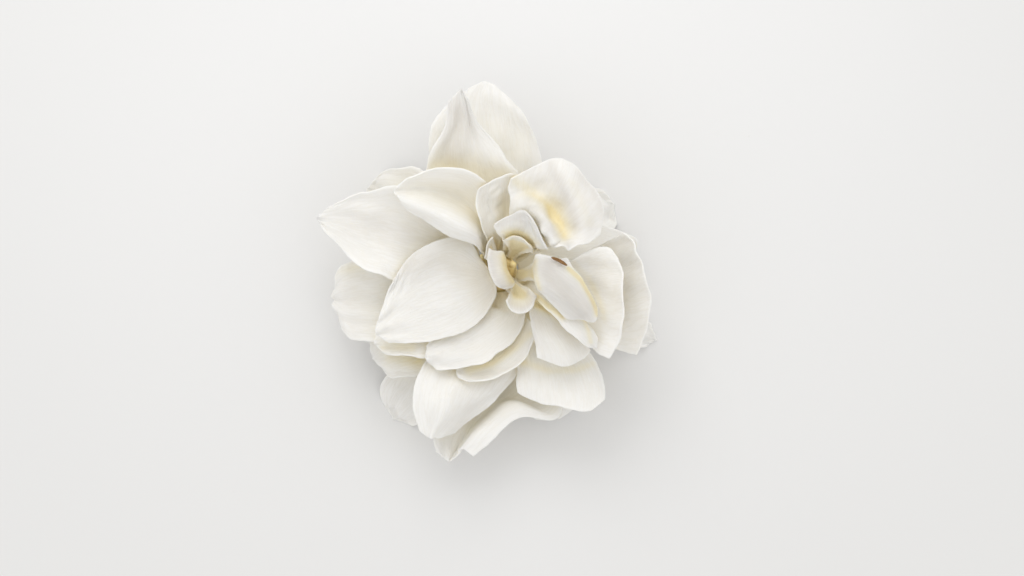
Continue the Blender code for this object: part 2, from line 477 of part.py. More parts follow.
def settle(sheets):
    """Ease the petals apart where they would meet: each later one lies on the earlier ones."""
    count = len(sheets)
    shape = sheets[0].shape
    for round_number in range(ROUNDS):
        faces = [normals_of(s).reshape(-1, 3) for s in sheets]
        flat = [s.reshape(-1, 3) for s in sheets]
        shift = [np.zeros_like(f) for f in flat]
        weight = [np.full(len(f), 1e-6) for f in flat]
        boxes = [(f.min(axis=0) - SHEET_GAP, f.max(axis=0) + SHEET_GAP) for f in flat]
        for low in range(count):
            for high in range(low + 1, count):
                small = np.maximum(boxes[low][0], boxes[high][0])
                large = np.minimum(boxes[low][1], boxes[high][1])
                if (small >= large).any():
                    continue
                pick_low = np.where(((flat[low] > small - 2) & (flat[low] < large + 2)).all(axis=1))[0]
                pick_high = np.where(((flat[high] > small - 2) & (flat[high] < large + 2)).all(axis=1))[0]
                if not len(pick_low) or not len(pick_high):
                    continue
                a, b = flat[low][pick_low], flat[high][pick_high]
                apart = b[None, :, :] - a[:, None, :]
                far = (apart ** 2).sum(axis=2)
                for own, other, axis in ((low, high, 0), (high, low, 1)):
                    near = far.argmin(axis=axis)
                    if axis == 0:
                        picks = (pick_low[near], pick_high)
                        gap = apart[near, np.arange(len(b))]
                        facing = faces[low][picks[0]]
                    else:
                        picks = (pick_low, pick_high[near])
                        gap = apart[np.arange(len(a)), near]
                        facing = faces[high][picks[1]]
                    rise = (gap * facing).sum(axis=1)
                    side = np.sqrt(np.maximum((gap ** 2).sum(axis=1) - rise ** 2, 0.0))
                    agree = (faces[low][picks[0]] * faces[high][picks[1]]).sum(axis=1)
                    ordered = (side < 0.95) & (rise < SHEET_GAP) & (rise > -5.0) & (agree > 0.0)
                    push = np.where(ordered, SHEET_GAP - rise, 0.0)[:, None] * facing
                    length = np.sqrt((gap ** 2).sum(axis=1))
                    close = (agree <= 0.0) & (length < SHEET_GAP)
                    away = gap / np.maximum(length, 1e-6)[:, None]
                    push = push + np.where(close, SHEET_GAP - length, 0.0)[:, None] * away
                    hit = np.where(ordered | close)[0]
                    np.add.at(shift[low], picks[0][hit], -0.5 * push[hit])
                    np.add.at(shift[high], picks[1][hit], 0.5 * push[hit])
                    np.add.at(weight[low], picks[0][hit], 1.0)
                    np.add.at(weight[high], picks[1][hit], 1.0)
        for i in range(count):
            move = (shift[i] / np.maximum(weight[i], 1.0)[:, None]).reshape(shape)
            move = 0.35 * move + 0.65 * softened(move, 3)
            hold = ease(np.linspace(0.0, 1.0, shape[0]) / 0.12)[:, None, None] * 0.9 + 0.1
            moved = sheets[i] + move * hold
            sheets[i] = clear_of_core(clear_of_floor(moved))
    return sheets


def clear_of_floor(points):
    """Lift whatever would pass under the surface the flower lies on."""
    points[..., 2] = np.maximum(points[..., 2], FLOOR_GAP)
    return points


def clear_of_core(points):
    """Move whatever would pass into the core out to its skin."""
    rel = points - CORE_FOOT
    height = rel @ CORE_AXIS
    out = rel - height[..., None] * CORE_AXIS
    radius = np.linalg.norm(out, axis=-1)
    need = core_radius(height) + ROOT_GAP + BLADE / 2.0
    need = np.where((height > -1.5) & (height < CORE_PROFILE[-1][0] + 0.8), need, 0.0)
    short = np.maximum(need - radius, 0.0)
    return points + unit(out) * short[..., None]


def shell(points, thickness):
    """Return the corners and faces of the closed blade round a sheet, split alike on both faces."""
    rows, columns = points.shape[:2]
    facing = normals_of(points)
    top = points + facing * thickness / 2.0
    under = points - facing * thickness / 2.0
    corners = np.vstack([top.reshape(-1, 3), under.reshape(-1, 3)])
    index = np.arange(rows * columns).reshape(rows, columns)
    below = rows * columns
    faces = []
    for i in range(rows - 1):
        for j in range(columns - 1):
            a, b = index[i, j], index[i, j + 1]
            c, d = index[i + 1, j + 1], index[i + 1, j]
            faces.append((a, b, c))
            faces.append((a, c, d))
            faces.append((a + below, c + below, b + below))
            faces.append((a + below, d + below, c + below))
    ring = [(0, j) for j in range(columns)]
    ring += [(i, columns - 1) for i in range(1, rows)]
    ring += [(rows - 1, j) for j in range(columns - 2, -1, -1)]
    ring += [(i, 0) for i in range(rows - 2, 0, -1)]
    for k in range(len(ring)):
        a = index[ring[k]]
        b = index[ring[(k + 1) % len(ring)]]
        faces.append((a, a + below, b + below))
        faces.append((a, b + below, b))
    return corners, faces


def seated(corners):
    """Press the lowest part of a blade flat on the surface it lies on."""
    corners[:, 2] = np.where(corners[:, 2] < REST_REACH, 0.0, corners[:, 2])
    return corners


def turned(profile, ring):
    """Return the corners and faces of a round body on the core's axis; profile of (height, radius)."""
    side = unit(np.cross(CORE_AXIS, np.array([0.0, 1.0, 0.0])))
    other = np.cross(CORE_AXIS, side)
    corners = []
    for height, radius in profile:
        for k in range(ring):
            angle = 2.0 * math.pi * k / ring
            out = side * math.cos(angle) + other * math.sin(angle)
            corners.append(CORE_FOOT + CORE_AXIS * height + out * radius)
    faces = []
    levels = len(profile)
    for i in range(levels - 1):
        for k in range(ring):
            a = i * ring + k
            b = i * ring + (k + 1) % ring
            faces.append((a, b, b + ring, a + ring))
    corners.append(CORE_FOOT + CORE_AXIS * profile[0][0])
    corners.append(CORE_FOOT + CORE_AXIS * profile[-1][0])
    for k in range(ring):
        faces.append((levels * ring, (k + 1) % ring, k))
        top = (levels - 1) * ring
        faces.append((levels * ring + 1, top + k, top + (k + 1) % ring))
    return np.array(corners), faces


def cup_of_calyx():
    """Return the calyx: a thin cup round the foot of the tube, with a lobed rim."""
    side = unit(np.cross(CORE_AXIS, np.array([0.0, 1.0, 0.0])))
    other = np.cross(CORE_AXIS, side)
    corners = []
    ring = 6 * CALYX_LOBES
    for k in range(ring):
        angle = 2.0 * math.pi * k / ring
        out = side * math.cos(angle) + other * math.sin(angle)
        lobe = CALYX_LOBE_RISE * (0.5 + 0.5 * math.cos(CALYX_LOBES * angle))
        for height, radius, follows in CALYX_LOOP:
            corners.append(CORE_FOOT + CORE_AXIS * (height + lobe * follows) + out * radius)
    faces = []
    loop = len(CALYX_LOOP)
    for k in range(ring):
        for i in range(loop - 1):
            a = k * loop + i
            b = ((k + 1) % ring) * loop + i
            faces.append((a, a + 1, b + 1, b))
    foot = len(corners)
    corners.append(CORE_FOOT + CORE_AXIS * CALYX_LOOP[0][0])
    corners.append(CORE_FOOT + CORE_AXIS * CALYX_LOOP[-1][0])
    for k in range(ring):
        a = k * loop
        b = ((k + 1) % ring) * loop
        faces.append((foot, a, b))
        faces.append((foot + 1, b + loop - 1, a + loop - 1))
    return np.array(corners), faces


def spindle(line, widths, ring):
    """Return a slender round body along a line of points, with a radius at each of them."""
    line = curve(line, len(widths))
    ahead = unit(np.gradient(line, axis=0))
    aside = unit(np.cross(ahead, np.array([0.3, 0.2, 1.0])))
    above = np.cross(ahead, aside)
    corners = []
    for i, radius in enumerate(widths):
        for k in range(ring):
            angle = 2.0 * math.pi * k / ring
            corners.append(line[i] + radius * (aside[i] * math.cos(angle) + above[i] * math.sin(angle)))
    corners.append(line[0] - ahead[0] * widths[0] * 0.5)
    corners.append(line[-1] + ahead[-1] * widths[-1] * 0.5)
    faces = []
    last = (len(widths) - 1) * ring
    for k in range(ring):
        nxt = (k + 1) % ring
        for i in range(len(widths) - 1):
            faces.append((i * ring + k, i * ring + nxt, (i + 1) * ring + nxt, (i + 1) * ring + k))
        faces.append((len(widths) * ring, nxt, k))
        faces.append((len(widths) * ring + 1, last + k, last + nxt))
    return np.array(corners), faces


def material_of(name, colour, roughness):
    """Make the named plain material."""
    material = bpy.data.materials.new("mat_" + name)
    material.use_nodes = True
    shader = material.node_tree.nodes["Principled BSDF"]
    shader.inputs["Base Color"].default_value = (*colour, 1.0)
    shader.inputs["Roughness"].default_value = roughness
    return material


def add_body(name, corners, faces, colour, roughness):
    """Add one closed body to the scene, facing out, with its own material."""
    mesh = bpy.data.meshes.new(name)
    mesh.from_pydata((corners * MM).tolist(), [], [tuple(int(i) for i in face) for face in faces])
    body = bmesh.new()
    body.from_mesh(mesh)
    bmesh.ops.triangulate(body, faces=[f for f in body.faces if len(f.verts) > 3])
    bmesh.ops.recalc_face_normals(body, faces=body.faces)
    body.to_mesh(mesh)
    body.free()
    for polygon in mesh.polygons:
        polygon.use_smooth = True
    mesh.materials.append(material_of(name, colour, roughness))
    thing = bpy.data.objects.new(name, mesh)
    bpy.context.scene.collection.objects.link(thing)
    return thing


def middle_of(bodies):
    """Return the middle of the bodies' footprint on the surface they lie on."""
    every = np.vstack([body[1] for body in bodies])
    middle = (every.min(axis=0) + every.max(axis=0)) / 2.0
    return np.array([middle[0], middle[1], 0.0])


def build():
    """Build every piece of the flower, with the middle of its footprint at the origin."""
    for thing in list(bpy.data.objects):
        bpy.data.objects.remove(thing, do_unlink=True)
    sheets = settle([sheet(petal) for petal in PETALS])
    bodies = []
    for petal, points in zip(PETALS, sheets):
        corners, faces = shell(points[::2, ::2], BLADE)
        if petal.rests:
            corners = seated(corners)
        bodies.append((petal.name, corners, faces, PETAL_COLOUR, 0.6))
    bodies.append(("core", *turned(CORE_BODY, 18), HEART_COLOUR, 0.7))
    bodies.append(("corolla_tube", *turned(TUBE_BODY, 18), TUBE_COLOUR, 0.6))
    bodies.append(("calyx", *cup_of_calyx(), CALYX_COLOUR, 0.6))
    bodies.append(("pedicel_end", *turned(PEDICEL_BODY, 12), CALYX_COLOUR, 0.7))
    bodies.append(("stigma", *spindle(*STIGMA, 10), HEART_COLOUR, 0.6))
    for name, line, widths in ANTHERS:
        bodies.append((name, *spindle(line, widths, 8), ANTHER_COLOUR, 0.7))
    middle = middle_of(bodies)
    for name, corners, faces, colour, roughness in bodies:
        add_body(name, corners - middle, faces, colour, roughness)


if __name__ == "__main__":
    build()
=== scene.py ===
"""Preserved gardenia flower: petals, heart, tube, calyx and stalk, with floor, light and camera."""
import logging
import math
from dataclasses import dataclass
from enum import Enum
from itertools import combinations
from typing import Any, Iterator, Sequence

import bpy
import numpy as np
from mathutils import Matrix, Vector
from mathutils.bvhtree import BVHTree


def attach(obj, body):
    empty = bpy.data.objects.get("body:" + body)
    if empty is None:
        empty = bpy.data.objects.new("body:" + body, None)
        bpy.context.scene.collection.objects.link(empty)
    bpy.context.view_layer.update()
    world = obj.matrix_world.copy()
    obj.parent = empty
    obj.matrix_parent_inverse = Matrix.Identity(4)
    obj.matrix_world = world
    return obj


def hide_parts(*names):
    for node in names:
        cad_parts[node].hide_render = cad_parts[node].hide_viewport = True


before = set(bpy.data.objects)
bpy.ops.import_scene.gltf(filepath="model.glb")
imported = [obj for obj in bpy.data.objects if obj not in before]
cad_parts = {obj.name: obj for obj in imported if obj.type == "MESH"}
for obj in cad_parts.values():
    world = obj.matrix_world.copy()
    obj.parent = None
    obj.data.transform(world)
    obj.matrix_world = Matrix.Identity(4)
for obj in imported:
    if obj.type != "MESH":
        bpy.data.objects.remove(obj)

Array = np.ndarray
Colour = tuple[float, float, float]
Range = tuple[float, float]

MM = 0.001
ROOT_BODY = "root"
PHOTO_WIDTH = 1024
PIXEL = 0.21 * MM
TINY = 1e-9
SLIGHT = 1e-6
TURN = 2.0 * math.pi
SPAN_STEPS = 40
WIDTH_KNOTS = (0.0, 0.15, 0.3, 0.6, 0.85, 1.0)
ROOT_SHARES = (0.55, 0.45)
TIP_SHARE = 0.94
TIP_POWER = 2.2
ROUND_TIP = 0.975
POINTED_TIP = 0.86
TONE_MARK = (0.7, 1.3, 5.1)
RIPPLES = ((0.55, (1.0, 0.4, 1.0), (-0.5, 0.7, 1.3)),
           (0.3, (1.9, -1.1, 2.1), (0.8, 1.6, -1.0)),
           (0.15, (3.3, 2.3, -1.7), (-2.1, 2.9, 0.6)))

log = logging.getLogger("gardenia")


def unit(vectors: Array) -> Array:
    """Return the vectors at length one."""
    size = np.linalg.norm(vectors, axis=-1, keepdims=True)
    return vectors / np.maximum(size, TINY)


def ease(x: Array | float) -> Array | float:
    """Return a smooth step from nought to one."""
    x = np.clip(x, 0.0, 1.0)
    return x * x * (3.0 - 2.0 * x)


def leaning(east: float, north: float) -> Array:
    """Work out the direction that leans from straight up by two angles.

    Args:
        east: lean towards +X, in degrees.
        north: lean towards +Y, in degrees.

    Returns:
        The direction, at length one.
    """
    lean = math.hypot(east, north)
    angle = math.radians(lean)
    if angle < TINY:
        return np.array([0.0, 0.0, 1.0])
    flat = math.sin(angle) / lean
    return np.array([flat * east, flat * north, math.cos(angle)])


def mixed(at: Array, low: float, high: float, first: Array, last: Array) -> Array:
    """Return what lies on the straight way from the first value, at low, to the last, at high."""
    return (high - at) / (high - low) * first + (at - low) / (high - low) * last


def run_along(line: Array) -> Array:
    """Return how far along a line each of its points lies."""
    return np.concatenate([[0.0], np.cumsum(np.linalg.norm(np.diff(line, axis=0), axis=1))])


def read_line(at: Array, knots: Array, line: Array) -> Array:
    """Return the points of a line at places among its knots."""
    return np.stack([np.interp(at, knots, part) for part in line.T], axis=1)


def curve(points: Sequence[Sequence[float]], count: int) -> Array:
    """Draw a smooth curve through points.

    Args:
        points: the points it goes through.
        count: how many points to return.

    Returns:
        Points evenly spaced along the curve.
    """
    p = np.array(points, float)
    p = np.vstack([2.0 * p[0] - p[1], p, 2.0 * p[-1] - p[-2]])
    spans = []
    for four in (p[i:i + 4] for i in range(len(p) - 3)):
        times = [0.0]
        for step in np.diff(four, axis=0):
            times.append(times[-1] + math.sqrt(np.linalg.norm(step)))
        t0, t1, t2, t3 = times
        t = np.linspace(t1, t2, SPAN_STEPS, endpoint=False)[:, None]
        ab, bc, cd = (mixed(t, times[k], times[k + 1], four[k], four[k + 1]) for k in range(3))
        spans.append(mixed(t, t1, t2, mixed(t, t0, t2, ab, bc), mixed(t, t1, t3, bc, cd)))
    line = np.vstack([*spans, p[-2]])
    run = run_along(line)
    return read_line(np.linspace(0.0, run[-1], count), run, line)


def spline_weights(knots: Sequence[float] | Array, at: Array) -> Array:
    """Work out how to read a smooth cubic curve from its values at the knots.

    Args:
        knots: the rising places at which values are known.
        at: the places to read.

    Returns:
        A matrix that turns the values at the knots into the values at the places.
    """
    knots = np.array(knots, float)
    count = len(knots)
    step = np.diff(knots)
    bend = np.zeros((count, count))
    pull = np.zeros((count, count))
    bend[0, 0] = bend[-1, -1] = 1.0
    for i in range(1, count - 1):
        bend[i, i - 1:i + 2] = (step[i - 1], 2.0 * (step[i - 1] + step[i]), step[i])
        pull[i, i - 1:i + 2] = (6.0 / step[i - 1], -6.0 / step[i - 1] - 6.0 / step[i], 6.0 / step[i])
    second = np.linalg.solve(bend, pull)
    i = np.clip(np.searchsorted(knots, at, side="right") - 1, 0, count - 2)
    ends = ((i, knots[i + 1] - at), (i + 1, at - knots[i]))
    weights = np.zeros((len(at), count))
    for end, way in ends:
        weights[np.arange(len(at)), end] += way / step[i]
    for end, way in ends:
        weights += ((way ** 3 / step[i] - step[i] * way) / 6.0)[:, None] * second[end]
    return weights


def straight_weights(knots: Array, at: Array) -> Array:
    """Return the matrix that reads straight lines between the values at the knots."""
    return np.stack([np.interp(at, knots, line) for line in np.eye(len(knots))], axis=1)


def normals_of(points: Array) -> Array:
    """Return a sheet's normals, towards the face of the petal."""
    across, along = np.gradient(points, axis=1), np.gradient(points, axis=0)
    return unit(np.cross(across, along))


def softened(field: Array, passes: int) -> Array:
    """Average a field over a sheet's grid with its neighbours.

    Args:
        field: values on the grid, as rows, columns and parts.
        passes: how many rounds of averaging.

    Returns:
        The softened field.
    """
    for _ in range(passes):
        padded = np.pad(field, ((1, 1), (1, 1), (0, 0)), mode="edge")
        field = (padded[:-2, 1:-1] + padded[2:, 1:-1] + padded[1:-1, :-2] + padded[1:-1, 2:]
                 + 2.0 * field) / 6.0
    return field


def ripple(x: Array, y: Array, phase: float) -> Array:
    """Draw a smooth uneven pattern over two coordinates, as the sum of three crossed waves.

    Args:
        x: the first coordinate.
        y: the second coordinate.
        phase: where the waves start.

    Returns:
        The pattern, between about -1 and 1.
    """
    return sum(share * (np.sin(a * x + b * y + c * phase) * np.sin(d * x + e * y + f * phase))
               for share, (a, b, c), (d, e, f) in RIPPLES)


def grid_faces(index: Array) -> Array:
    """Return the faces between the corners of a grid, from the corners' numbers."""
    return np.stack([index[:-1, :-1], index[:-1, 1:], index[1:, 1:], index[1:, :-1]], axis=-1).reshape(-1, 4)


def ring_faces(levels: int, ring: int) -> list[tuple[int, ...]]:
    """Lay faces over a stack of rings, with one face over each end.

    Args:
        levels: how many rings there are.
        ring: how many corners each ring has.

    Returns:
        The faces, as numbers of corners.
    """
    index = np.arange(levels * ring).reshape(levels, ring)
    after = np.roll(index, -1, axis=1)
    quads = np.stack([index[:-1], after[:-1], after[1:], index[1:]], axis=-1).reshape(-1, 4)
    return [tuple(quad) for quad in quads] + [tuple(index[0][::-1]), tuple(index[-1])]


def angles_round(count: int) -> Array:
    """Return evenly spaced angles round a ring."""
    return np.linspace(0.0, TURN, count, endpoint=False)


class Ring(Enum):
    """The rings of petals, from the lowest to the heart."""

    OUTER = "outer"
    MIDDLE = "middle"
    INNER = "inner"
    HEART = "heart"


class Blend(Enum):
    """How one colour is laid over another."""

    OVER = "MIX"
    DARKEN = "MULTIPLY"


class Slot(Enum):
    """The pieces' material slots, by name."""

    PETAL = "petal"
    HEART_PETAL = "heart_petal"
    CORE = "core_tissue"
    TUBE = "tube_tissue"
    GREEN = "green_tissue"
    ANTHER = "anther_tissue"


@dataclass(frozen=True)
class Grain:
    """A soft noise: how fine it is, its finer layers, how far it is drawn out of shape and its stretch."""

    size: float
    detail: float = 2.0
    rough: float = 0.5
    warp: float = 0.0
    stretch: tuple[float, float, float] | None = None


class Expression:
    """A socket of a material's nodes that takes part in Python arithmetic."""

    def __init__(self, nodes: "NodeSheet", socket: bpy.types.NodeSocket) -> None:
        """Keep the socket and the sheet of nodes it belongs to."""
        self.nodes = nodes
        self.socket = socket

    def _math(self, operation: str, first: Any, second: Any) -> "Expression":
        """Return what one Math node makes of two values."""
        return self.nodes.add("ShaderNodeMath", {"operation": operation}, {0: first, 1: second})

    def __add__(self, other: Any) -> "Expression":
        """Return this value plus another."""
        return self._math("ADD", self, other)

    def __radd__(self, other: Any) -> "Expression":
        """Return another value plus this one."""
        return self._math("ADD", other, self)

    def __sub__(self, other: Any) -> "Expression":
        """Return this value less another."""
        return self._math("SUBTRACT", self, other)

    def __rsub__(self, other: Any) -> "Expression":
        """Return another value less this one."""
        return self._math("SUBTRACT", other, self)

    def __mul__(self, other: Any) -> "Expression":
        """Return this value times another."""
        return self._math("MULTIPLY", self, other)

    def __rmul__(self, other: Any) -> "Expression":
        """Return another value times this one."""
        return self._math("MULTIPLY", other, self)

    def __abs__(self) -> "Expression":
        """Return this value without its sign."""
        return self._math("ABSOLUTE", self, 0.0)


class NodeSheet:
    """The nodes of one material, laid under its shader."""

    def __init__(self, name: str) -> None:
        """Make the material and find its shader."""
        self.material = bpy.data.materials.new(name)
        self.material.use_nodes = True
        self.tree = self.material.node_tree
        self.shader = self.tree.nodes["Principled BSDF"]

    def feed(self, socket: bpy.types.NodeSocket, value: Any) -> None:
        """Give a socket its value or its link.

        Args:
            socket: the input socket.
            value: an Expression to link, or a number, colour or vector to set.
        """
        if isinstance(value, Expression):
            self.tree.links.new(value.socket, socket)
        elif socket.type == "RGBA":
            socket.default_value = (*value[:3], 1.0)
        else:
            socket.default_value = value

    def add(self, kind: str, settings: dict[str, Any] | None = None,
            inputs: dict[Any, Any] | None = None, output: int = 0) -> Expression:
        """Add one node.

        Args:
            kind: the node's type.
            settings: its own settings, set before its sockets; stops are a ramp's places and colours.
            inputs: socket names or numbers with the values or links they get.
            output: the number of the output socket to return.

        Returns:
            The output socket.
        """
        node = self.tree.nodes.new(kind)
        for key, value in (settings or {}).items():
            if key == "stops":
                self._set_stops(node.color_ramp, value)
            else:
                setattr(node, key, value)
        for key, value in (inputs or {}).items():
            self.feed(node.inputs[key], value)
        return Expression(self, node.outputs[output])

    @staticmethod
    def _set_stops(ramp: bpy.types.ColorRamp, stops: Sequence[tuple[float, Colour]]) -> None:
        """Give a colour ramp its stops.

        Args:
            ramp: the ramp, with its two first stops.
            stops: places from nought to one, with their colours.
        """
        while len(ramp.elements) < len(stops):
            ramp.elements.new(0.5)
        for element, (place, colour) in zip(ramp.elements, stops):
            element.position = place
            element.color = (*colour, 1.0)

    def field(self, name: str, vector: bool = False) -> Expression:
        """Return a value, or a vector, kept on the mesh under a name."""
        settings = {"attribute_type": "GEOMETRY", "attribute_name": name}
        return self.add("ShaderNodeAttribute", settings, output=1 if vector else 2)

    def place(self) -> Expression:
        """Return the place on the piece, in metres."""
        return self.add("ShaderNodeTexCoord", output=3)

    def stretched(self, vector: Expression, by: Sequence[float]) -> Expression:
        """Return a vector with each part scaled by a number."""
        return self.add("ShaderNodeVectorMath", {"operation": "MULTIPLY"}, {0: vector, 1: tuple(by)})

    def noise(self, where: Expression, grain: Grain) -> Expression:
        """Add a soft noise.

        Args:
            where: the place to read it at.
            grain: what it is like.

        Returns:
            The noise, from about nought to one.
        """
        if grain.stretch:
            where = self.stretched(where, grain.stretch)
        return self.add("ShaderNodeTexNoise", None, {
            "Vector": where, "Scale": grain.size, "Detail": grain.detail, "Roughness": grain.rough,
            "Distortion": grain.warp})

    def between(self, value: Expression, low: float, high: float) -> Expression:
        """Return a smooth step of a value from nought at low to one at high."""
        inputs = {"Value": value, "From Min": low, "From Max": high, "To Min": 0.0, "To Max": 1.0}
        return self.add("ShaderNodeMapRange", {"interpolation_type": "SMOOTHSTEP"}, inputs)

    def ramp(self, value: Expression, stops: Sequence[tuple[float, Colour]]) -> Expression:
        """Return the colour of a ramp at a value."""
        return self.add("ShaderNodeValToRGB", {"stops": stops}, {0: value})

    def laid(self, amount: Any, under: Any, over: Any, way: Blend = Blend.OVER) -> Expression:
        """Lay one colour over another.

        Args:
            amount: how much of the upper colour shows.
            under: the lower colour.
            over: the upper colour.
            way: how the two meet.

        Returns:
            The colour.
        """
        settings = {"data_type": "RGBA", "blend_type": way.value}
        return self.add("ShaderNodeMix", settings, {0: amount, 6: under, 7: over}, output=2)

    def relief(self, height: Expression, depth: float, strength: float = 1.0) -> Expression:
        """Return the normal of a surface raised by a height, with its depth in metres."""
        return self.add("ShaderNodeBump", None, {"Strength": strength, "Distance": depth, "Height": height})

    def finish(self, sockets: dict[str, Any]) -> bpy.types.Material:
        """Feed the shader's sockets and return the material."""
        for key, value in sockets.items():
            self.feed(self.shader.inputs[key], value)
        return self.material


@dataclass(frozen=True)
class PetalFinish:
    """Soft matt preserved petal: pale in the open, with painted warm shade where it is sheltered, painted
    grey shade, a painted highlight along its margins, veins and skin.

    Reaches are in millimetres from the root or the margin.
    """

    name: str
    open_colour: Colour = (0.905, 0.886, 0.842)
    # cream, warm and deep: the petal's own cream near its root, and painted warm, darker shade in sheltered
    # hollows and valleys
    cream_colour: Colour = (0.905, 0.875, 0.79)
    warm_colour: Colour = (0.915, 0.855, 0.69)
    deep_colour: Colour = (0.93, 0.81, 0.52)
    # painted shade: grey laid over where a petal turns from the light or lies in another's shadow
    shade_colour: Colour = (0.76, 0.745, 0.74)
    vein_colour: Colour = (0.84, 0.80, 0.70)
    # painted highlight along the margins
    rim_highlight_colour: Colour = (0.935, 0.925, 0.895)
    stops: tuple[float, float, float, float] = (0.15, 0.5, 0.78, 1.0)
    clouds: Grain = Grain(260.0, 3.0, 0.55)
    streaks: Grain = Grain(1.0, 4.0, 0.6, 0.35, (1.25, 0.11, 0.0))
    creases: Grain = Grain(1.0, 3.0, 0.62, 0.6, (0.55, 0.35, 0.0))
    skin: Grain = Grain(5200.0, 2.0, 0.6)
    cloud_depth: float = 0.16
    tone_depth: float = 0.05
    root_warmth: float = 0.2
    root_reach: Range = (1.0, 13.0)
    inner_warmth: float = 0.0
    inner_reach: Range = (0.4, 1.7)
    # how the streaks break the painted shade and tint
    shade_tint_least: float = 0.8
    shade_tint_streaks: float = 0.4
    vein_width: float = 0.075
    vein_strength: float = 0.16
    rim_highlight_reach: Range = (0.2, 0.85)
    rim_highlight_clouds: Range = (0.2, 0.55)
    rim_highlight_strength: float = 0.35
    heights: tuple[float, float, float, float] = (0.5, 0.3, 0.22, 0.12)
    relief_depth: float = 0.22 * MM
    relief_strength: float = 0.55
    roughness: float = 0.56
    rough_clouds: float = 0.14
    rough_skin: float = 0.1
    subsurface: float = 0.3
    scatter: float = 2.0 * MM
    scatter_radius: Colour = (1.0, 0.92, 0.8)
    specular: float = 0.34
    sheen: float = 0.06
    sheen_roughness: float = 0.5

    def material(self) -> bpy.types.Material:
        """Build the material from what the mesh keeps.

        The mesh keeps shelter, tone, warmth, shade and blade, which is the fan, the length and the
        distance from the margin in millimetres. Shelter and warmth paint warm shade, shade paints grey
        shade, and the margins get a painted highlight.

        Returns:
            The material.
        """
        nodes = NodeSheet(self.name)
        blade = nodes.field("blade", vector=True)
        along, margin = (nodes.add("ShaderNodeSeparateXYZ", None, {0: blade}, output=k) for k in (1, 2))
        place = nodes.place()
        clouds, skin = nodes.noise(place, self.clouds), nodes.noise(place, self.skin)
        streaks, creases = nodes.noise(blade, self.streaks), nodes.noise(blade, self.creases)
        veins = 1 - nodes.between(abs(streaks - 0.5), 0.0, self.vein_width)
        broken = self.shade_tint_least + self.shade_tint_streaks * streaks
        # painted shade: the more enclosed a place, the warmer and darker it turns; clouds and tone vary it at
        # random
        depth = nodes.field("shelter") + self.cloud_depth * (clouds - 0.5)
        depth = depth + self.tone_depth * (nodes.field("tone") - 0.5)
        depth = depth + self.root_warmth * (1 - nodes.between(along, *self.root_reach))
        depth = depth + self.inner_warmth * nodes.between(margin, *self.inner_reach)
        # painted warm shade along valleys and gaps, partly the bloom's own tint; below nought, painted light
        depth = depth + nodes.field("warmth") * broken
        colours = (self.open_colour, self.cream_colour, self.warm_colour, self.deep_colour)
        colour = nodes.ramp(depth, tuple(zip(self.stops, colours)))
        # painted grey shade
        colour = nodes.laid(nodes.field("shade") * broken, colour, self.shade_colour, Blend.DARKEN)
        colour = nodes.laid(self.vein_strength * veins, colour, self.vein_colour, Blend.DARKEN)
        # painted highlight along the margins, broken by the clouds
        edge = (1 - nodes.between(margin, *self.rim_highlight_reach)) * nodes.between(clouds, *self.rim_highlight_clouds)
        colour = nodes.laid(self.rim_highlight_strength * edge, colour, self.rim_highlight_colour)
        crease_height, streak_height, vein_height, skin_height = self.heights
        height = crease_height * creases + streak_height * streaks + vein_height * veins + skin_height * skin
        rough = self.roughness + self.rough_clouds * (clouds - 0.5) + self.rough_skin * (skin - 0.5)
        return nodes.finish({
            "Base Color": colour,
            "Roughness": rough,
            "Normal": nodes.relief(height, self.relief_depth, self.relief_strength),
            "Subsurface Weight": self.subsurface,
            "Subsurface Radius": self.scatter_radius,
            "Subsurface Scale": self.scatter,
            "Specular IOR Level": self.specular,
            "Sheen Weight": self.sheen,
            "Sheen Roughness": self.sheen_roughness,
        })


@dataclass(frozen=True)
class TissueFinish:
    """Dried plant tissue with lengthwise fibres, blotches and a fine grain."""

    name: str
    light: Colour
    middle: Colour
    dark: Colour
    stops: tuple[float, float, float] = (0.3, 0.5, 0.68)
    blotches: Grain = Grain(420.0, 4.0, 0.6, 0.4)
    fibres: Grain = Grain(1.0, 4.0, 0.62, 0.3, (2.6, 0.35, 0.0))
    grain: Grain = Grain(3800.0, 2.0, 0.5)
    shares: Range = (0.5, 0.5)
    heights: Range = (0.7, 0.3)
    grain_reach: Range = (0.45, 0.75)
    grain_strength: float = 0.3
    relief_depth: float = 0.12 * MM
    relief_strength: float = 0.8
    roughness: float = 0.66
    rough_fibres: float = 0.2
    rough_grain: float = 0.1
    subsurface: float = 0.12
    scatter: float = 0.8 * MM
    scatter_radius: Colour = (1.0, 0.6, 0.3)
    specular: float = 0.3

    def material(self) -> bpy.types.Material:
        """Build the material; the mesh keeps grain, which is its arc and its length in millimetres.

        Returns:
            The material.
        """
        nodes = NodeSheet(self.name)
        place = nodes.place()
        blotches, grain = nodes.noise(place, self.blotches), nodes.noise(place, self.grain)
        fibres = nodes.noise(nodes.field("grain", vector=True), self.fibres)
        colours = (self.dark, self.middle, self.light)
        (blotched, fibrous), (fibre_height, grain_height) = self.shares, self.heights
        colour = nodes.ramp(blotched * blotches + fibrous * fibres, tuple(zip(self.stops, colours)))
        specks = self.grain_strength * nodes.between(grain, *self.grain_reach)
        rough = self.roughness + self.rough_fibres * (fibres - 0.5) + self.rough_grain * (grain - 0.5)
        height = fibre_height * fibres + grain_height * grain
        return nodes.finish({
            "Base Color": nodes.laid(specks, colour, self.dark),
            "Roughness": rough,
            "Normal": nodes.relief(height, self.relief_depth, self.relief_strength),
            "Subsurface Weight": self.subsurface,
            "Subsurface Radius": self.scatter_radius,
            "Subsurface Scale": self.scatter,
            "Specular IOR Level": self.specular,
        })


